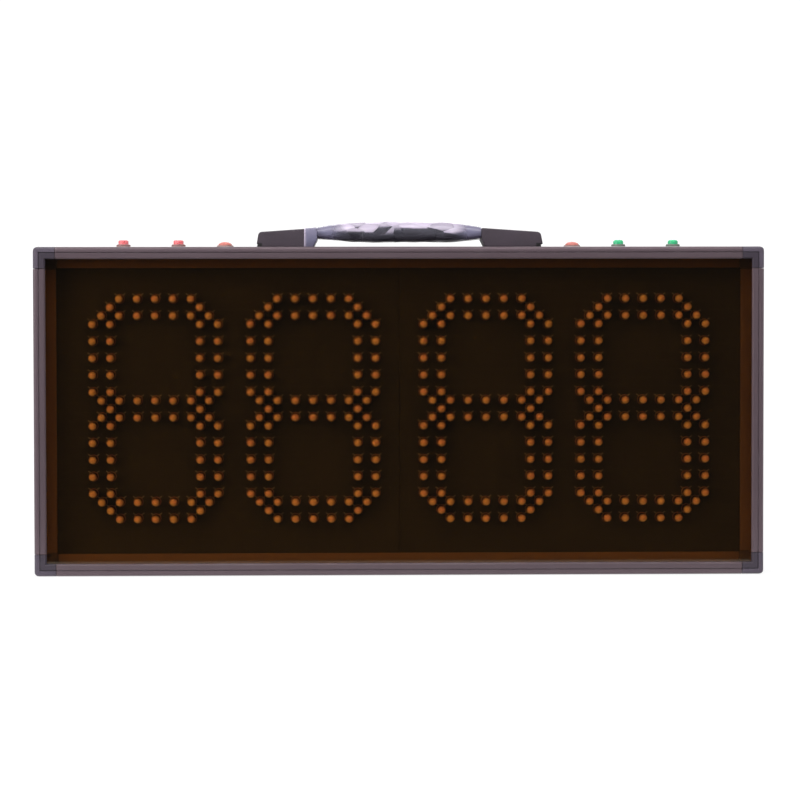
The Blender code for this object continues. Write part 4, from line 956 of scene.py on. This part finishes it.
def strapSection(x):
    # top, underside and half width of the strap at x
    share = 1 - min(abs(x) / handle["mouth"], 1) ** 3
    top, under, halfWidth = [handle[part + "End"] + (handle[part + "Middle"] - handle[part + "End"]) * share
                             for part in ("top", "under", "halfWidth")]
    return top + railTop, under + railTop, halfWidth


def filmSection(x, grow=0.0):
    # the wrap stands off the strap, a little less towards the caps, and sags below it, most at the middle
    top, under, halfWidth = strapSection(x)
    far = min(abs(x) / handle["mouth"], 1)
    rise = wrapping["rise"] - wrapping["riseLoss"] * far ** 2 + grow
    sag = wrapping["sag"] * (1 - wrapping["sagLoss"] * far ** 3) + grow
    return top + rise, under - sag, halfWidth + rise


def strapBar(name, stations, section=strapSection, closed=True):
    # a rounded bar along X, extruded from station to station
    dropSelection()
    start = stations[0]
    top, under, halfWidth = section(start)
    middle, height, width = (top + under) / 2, top - under, 2 * halfWidth
    bpy.ops.mesh.primitive_plane_add(size=1, location=(start, 0, middle), rotation=(0, radians(90), 0))
    bar = settle(named(bpy.context.object, name))
    startEdit()
    bpy.ops.transform.resize(value=(1, width, height), center_override=(start, 0, middle))
    bpy.ops.mesh.bevel(offset=height * handle["roundShare"], segments=handle["roundSteps"], affect="VERTICES")
    for x, nextX in zip(stations, stations[1:]):
        nextTop, nextUnder, nextHalf = section(nextX)
        nextMiddle = (nextTop + nextUnder) / 2
        step = (nextX - x, 0, nextMiddle - middle)
        bpy.ops.mesh.extrude_region_move(TRANSFORM_OT_translate={"value": step})
        bpy.ops.transform.resize(value=(1, 2 * nextHalf / width, (nextTop - nextUnder) / height),
                                 center_override=(nextX, 0, nextMiddle))
        middle, height, width = nextMiddle, nextTop - nextUnder, 2 * nextHalf
    faceOut()
    if not closed:
        dropFaces(bar, lambda face: abs(face.normal.x) > handle["endFace"])
    return bar


def slotCutter(side):
    # the slot that the strap slides by on its post
    h = handle
    high = h["post"] + h["slotHalf"]
    near, far = sorted((side * (high - h["slotLength"]), side * high))
    return blockBetween("slotCutter", (near, -h["slotHalf"], railTop),
                        (far, h["slotHalf"], railTop + h["slotHeight"]))


def makeGrip():
    h = handle
    end = h["gripEnd"]
    grip = strapBar("gripCore", evenSteps(-end, end, h["gripSteps"]))
    soften(grip, smooth=50)
    finishPiece(grip, "grip", "vinyl", vinyl, "handle_grip")
    for side, name in ((-1, "left"), (1, "right")):
        start, mouth = end + h["seat"], h["mouth"] - h["seat"]
        strap = strapBar("strapEnd" + name.title(), evenSteps(side * start, side * mouth, h["endSteps"]))
        low, high = sorted((side * (mouth - h["tongueRoot"]), side * (mouth + h["tongueLength"])))
        half, under = h["tongueWidth"] / 2, railTop + h["tongueUnder"]
        tongue = blockBetween("tongue", (low, -half, under), (high, half, under + h["tongueThickness"]))
        cutBy(tongue, slotCutter(side))
        strap = joinAll([strap, tongue], "strapEnd" + name.title())
        soften(strap, smooth=50)
        finishPiece(strap, None, "vinyl", vinyl, "strap_end_" + name)
        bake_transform(strap)


def thicken(piece):
    addModifier(piece, "SOLIDIFY", thickness=wrapping["thickness"], offset=1)
    applyModifiers(piece)


def makeFilm():
    # crumpled wrap in two lengths that overlap at the middle, one for each end of the strap
    w = wrapping
    folds = bpy.data.textures.new("wrapFolds", "CLOUDS")
    folds.noise_scale = w["foldSize"]
    folds.noise_depth = 0
    creases = bpy.data.textures.new("wrapCreases", "VORONOI")
    creases.noise_scale = w["creaseSize"]
    creases.distance_metric = "DISTANCE"
    sections = {"Left": filmSection, "Right": lambda x: filmSection(x, w["lap"])}
    for side, name in ((-1, "Left"), (1, "Right")):
        end = w["end"]
        stations = evenSteps(-side * w["overlap"], side * end, w["steps"])
        wrap = strapBar("gripFilm" + name, stations, sections[name], closed=False)
        addModifier(wrap, "SUBSURF", levels=1, render_levels=1)
        for texture, part in ((folds, "fold"), (creases, "crease")):
            addModifier(wrap, "DISPLACE", texture=texture, texture_coords="GLOBAL",
                        strength=w[part + "Height"], mid_level=w[part + "Level"])
        thicken(wrap)
        soften(wrap, smooth=60)
        finishPiece(wrap, None, "film", clearFilm, "grip_film")
        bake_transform(wrap)


def makeSkirt():
    # the wrap's left end lies over the cap's inner end, so it is the cap's outside there, moved out a little
    w, wall = wrapping, handle["wall"]
    skirt = meltedCopy("handle_cap_left", "gripFilmSkirt")
    startEdit()
    bpy.ops.mesh.bisect(plane_co=(-w["skirtEnd"], 0, 0), plane_no=(1, 0, 0), clear_inner=True)
    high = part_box("handle_cap_left")[1]

    def hidden(face):
        x, y, z = face.center
        inside = abs(y) < high.y - wall and z < high.z - wall and x < high.x - wall
        return inside or face.normal.z < -w["underFace"] or abs(face.normal.x) > w["endFace"]

    dropFaces(skirt, hidden)
    addModifier(skirt, "DISPLACE", strength=w["skirtGap"], mid_level=0)
    thicken(skirt)
    soften(skirt)
    finishPiece(skirt, "board", "film", clearFilm, "grip_film")


def leanEnd(cap, side, share):
    # draws the cap's outer end in a little, above its foot
    h = handle
    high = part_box("handle_cap_left")[1]

    def leaning(corner):
        x, y, z = corner.co
        inside = abs(y) < high.y - h["wall"] and z < high.z - h["roof"]
        return side * x > h["leanFrom"] and z > railTop + h["leanFoot"] and not inside

    pick(cap, "VERT", leaning)
    bpy.ops.transform.resize(value=(share, 1, 1), center_override=(side * h["leanFrom"], 0, 0))
    dropSelection()


def makeHandle():
    makeGrip()
    makeFilm()
    makeSkirt()
    for side, name in ((-1, "left"), (1, "right")):
        node = "handle_cap_" + name
        cap = meltedCopy(node)
        leanEnd(cap, side, handle["leanShare"][name])
        soften(cap, handle["capEdge"], limit=40)
        finishPiece(cap, "board", "black_plastic", handlePlastic, node)
        finerCopy("handle_base_" + name, handle["baseEdge"], panelPlastic)


makeHandle()
print("handle made")


# Rear: panel, screws, socket and switch

rear = {
    "screwSides": 32, "screwHead": 3.0 * mm, "screwEdge": 0.9 * mm, "edgeShare": 0.55, "screwCrown": 1.9 * mm,
    "crownSteps": 6, "crownFullness": 0.8, "crownFlat": 0.1 * mm, "seat": 0.3 * mm, "screwRadius": 1.5 * mm,
    "screwLength": 8 * mm, "crossLength": 3.4 * mm, "crossWidth": 0.75 * mm, "crossDepth": 1.1 * mm,
    "firstTurn": 17, "nextTurn": 53,
    "socketSides": 36, "flange": 5.6 * mm, "flangeTop": 1.6 * mm, "flangeEdge": 0.5 * mm, "bore": 2.9 * mm,
    "boreEdge": 0.35 * mm, "boreDepth": 9.5 * mm, "pin": 1.0 * mm, "pinTip": 1.5 * mm, "pinEdge": 0.4 * mm,
    "pinPoint": 0.6, "pinReach": 1.05, "pinDepth": 7 * mm, "thread": 4.0 * mm, "socketLength": 13 * mm,
    "panelEdge": 0.2 * mm, "bezelEdge": 0.25 * mm, "rockerEdge": 0.3 * mm,
}
facingBack = (radians(-90), 0, 0)
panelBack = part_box("rear_panel")[1].y


def middleOf(node):
    low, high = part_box(node)
    return (low + high) / 2


def makeScrew():
    r = rear
    head, seat, edge = r["screwHead"], r["seat"], r["edgeShare"] * r["screwEdge"]
    top, shank = seat + r["screwCrown"], r["screwRadius"]
    profile = [(shank, seat - r["screwLength"]), (shank, seat), (head, seat), (head, seat + edge)]
    for angle in evenSteps(0, radians(90), r["crownSteps"])[1:-1]:
        profile.append((head * cos(angle) ** r["crownFullness"],
                        seat + edge + (r["screwCrown"] - edge) * sin(angle)))
    profile.append((r["crownFlat"], top))
    screw = turnProfile("panelScrew", profile, r["screwSides"], facingBack)
    length, width = r["crossLength"] / 2, r["crossWidth"] / 2
    for x, z in ((length, width), (width, length)):
        cutBy(screw, blockBetween("crossCutter", (-x, top - r["crossDepth"], -z), (x, top + mm, z)))
    return soften(screw)


def makeRear():
    r = rear
    finerCopy("rear_panel", r["panelEdge"], panelPlastic)
    screw = makeScrew()
    for number in range(1, 7):
        node = f"panel_screw_{number}"
        middle = middleOf(node)
        turn = (0, radians(r["firstTurn"] + r["nextTurn"] * number), 0)
        copy = placeCopy(screw, (middle.x, panelBack, middle.z), camelName(node), turn)
        finishPiece(copy, "board", "steel", zincSteel, node)
    discard(screw)


def makeSocket():
    r = rear
    middle = middleOf("charge_socket")
    seat, flange, bore, pin = r["seat"], r["flange"], r["bore"], r["pin"]
    mouth, edge = seat + r["flangeTop"], r["flangeEdge"]
    floor, tip = mouth - r["boreDepth"], mouth - r["pinTip"]
    profile = [
        (r["thread"], seat - r["socketLength"]), (r["thread"], seat), (flange, seat), (flange, mouth - edge),
        (flange - 0.3 * edge, mouth - 0.4 * edge), (flange - edge, mouth), (bore + r["boreEdge"], mouth),
        (bore, mouth - r["boreEdge"]), (bore, floor), (pin, floor), (pin, tip - r["pinEdge"]),
        (r["pinPoint"] * pin, tip),
    ]
    socket = soften(turnProfile("chargeSocket", profile, r["socketSides"], facingBack), smooth=40)
    socket.location = (middle.x, panelBack, middle.z)
    settle(socket)
    finishPiece(socket, "board", "black_plastic", panelPlastic, "charge_socket")
    # the pin is metal
    socket.data.materials.append(nickel)
    for face in socket.data.polygons:
        away = Vector((face.center.x - middle.x, 0, face.center.z - middle.z)).length
        if away < pin * r["pinReach"] and face.center.y > panelBack - r["pinDepth"]:
            face.material_index = 1


def makeSwitch():
    finerCopy("power_switch_body", rear["bezelEdge"], panelPlastic, name="switchBezel")
    finerCopy("power_rocker", rear["rockerEdge"], rockerRed, "red", "rocker", "switchRocker", segments=3)


makeRear()
makeSocket()
makeSwitch()
print("rear made")


# CAD nodes that keep their shapes and get new materials

def recoat():
    carried = {
        "centre_brace": panelPlastic, "control_board": controlMask, "battery_pack": sleeveBlue,
        "battery_tray": panelPlastic, "battery_lead": redInsulation, "switch_lead": blackInsulation,
        "ribbon_cable_left": ribbonCable, "ribbon_cable_right": ribbonCable,
    }
    for node in nodes:
        if node.endswith("_nut"):
            carried[node] = nickel
        if node.startswith("handle_screw"):
            carried[node] = zincSteel
    for node, finish in carried.items():
        for slot in nodes[node].material_slots:
            slot.material = finish


recoat()
print("all pieces made")
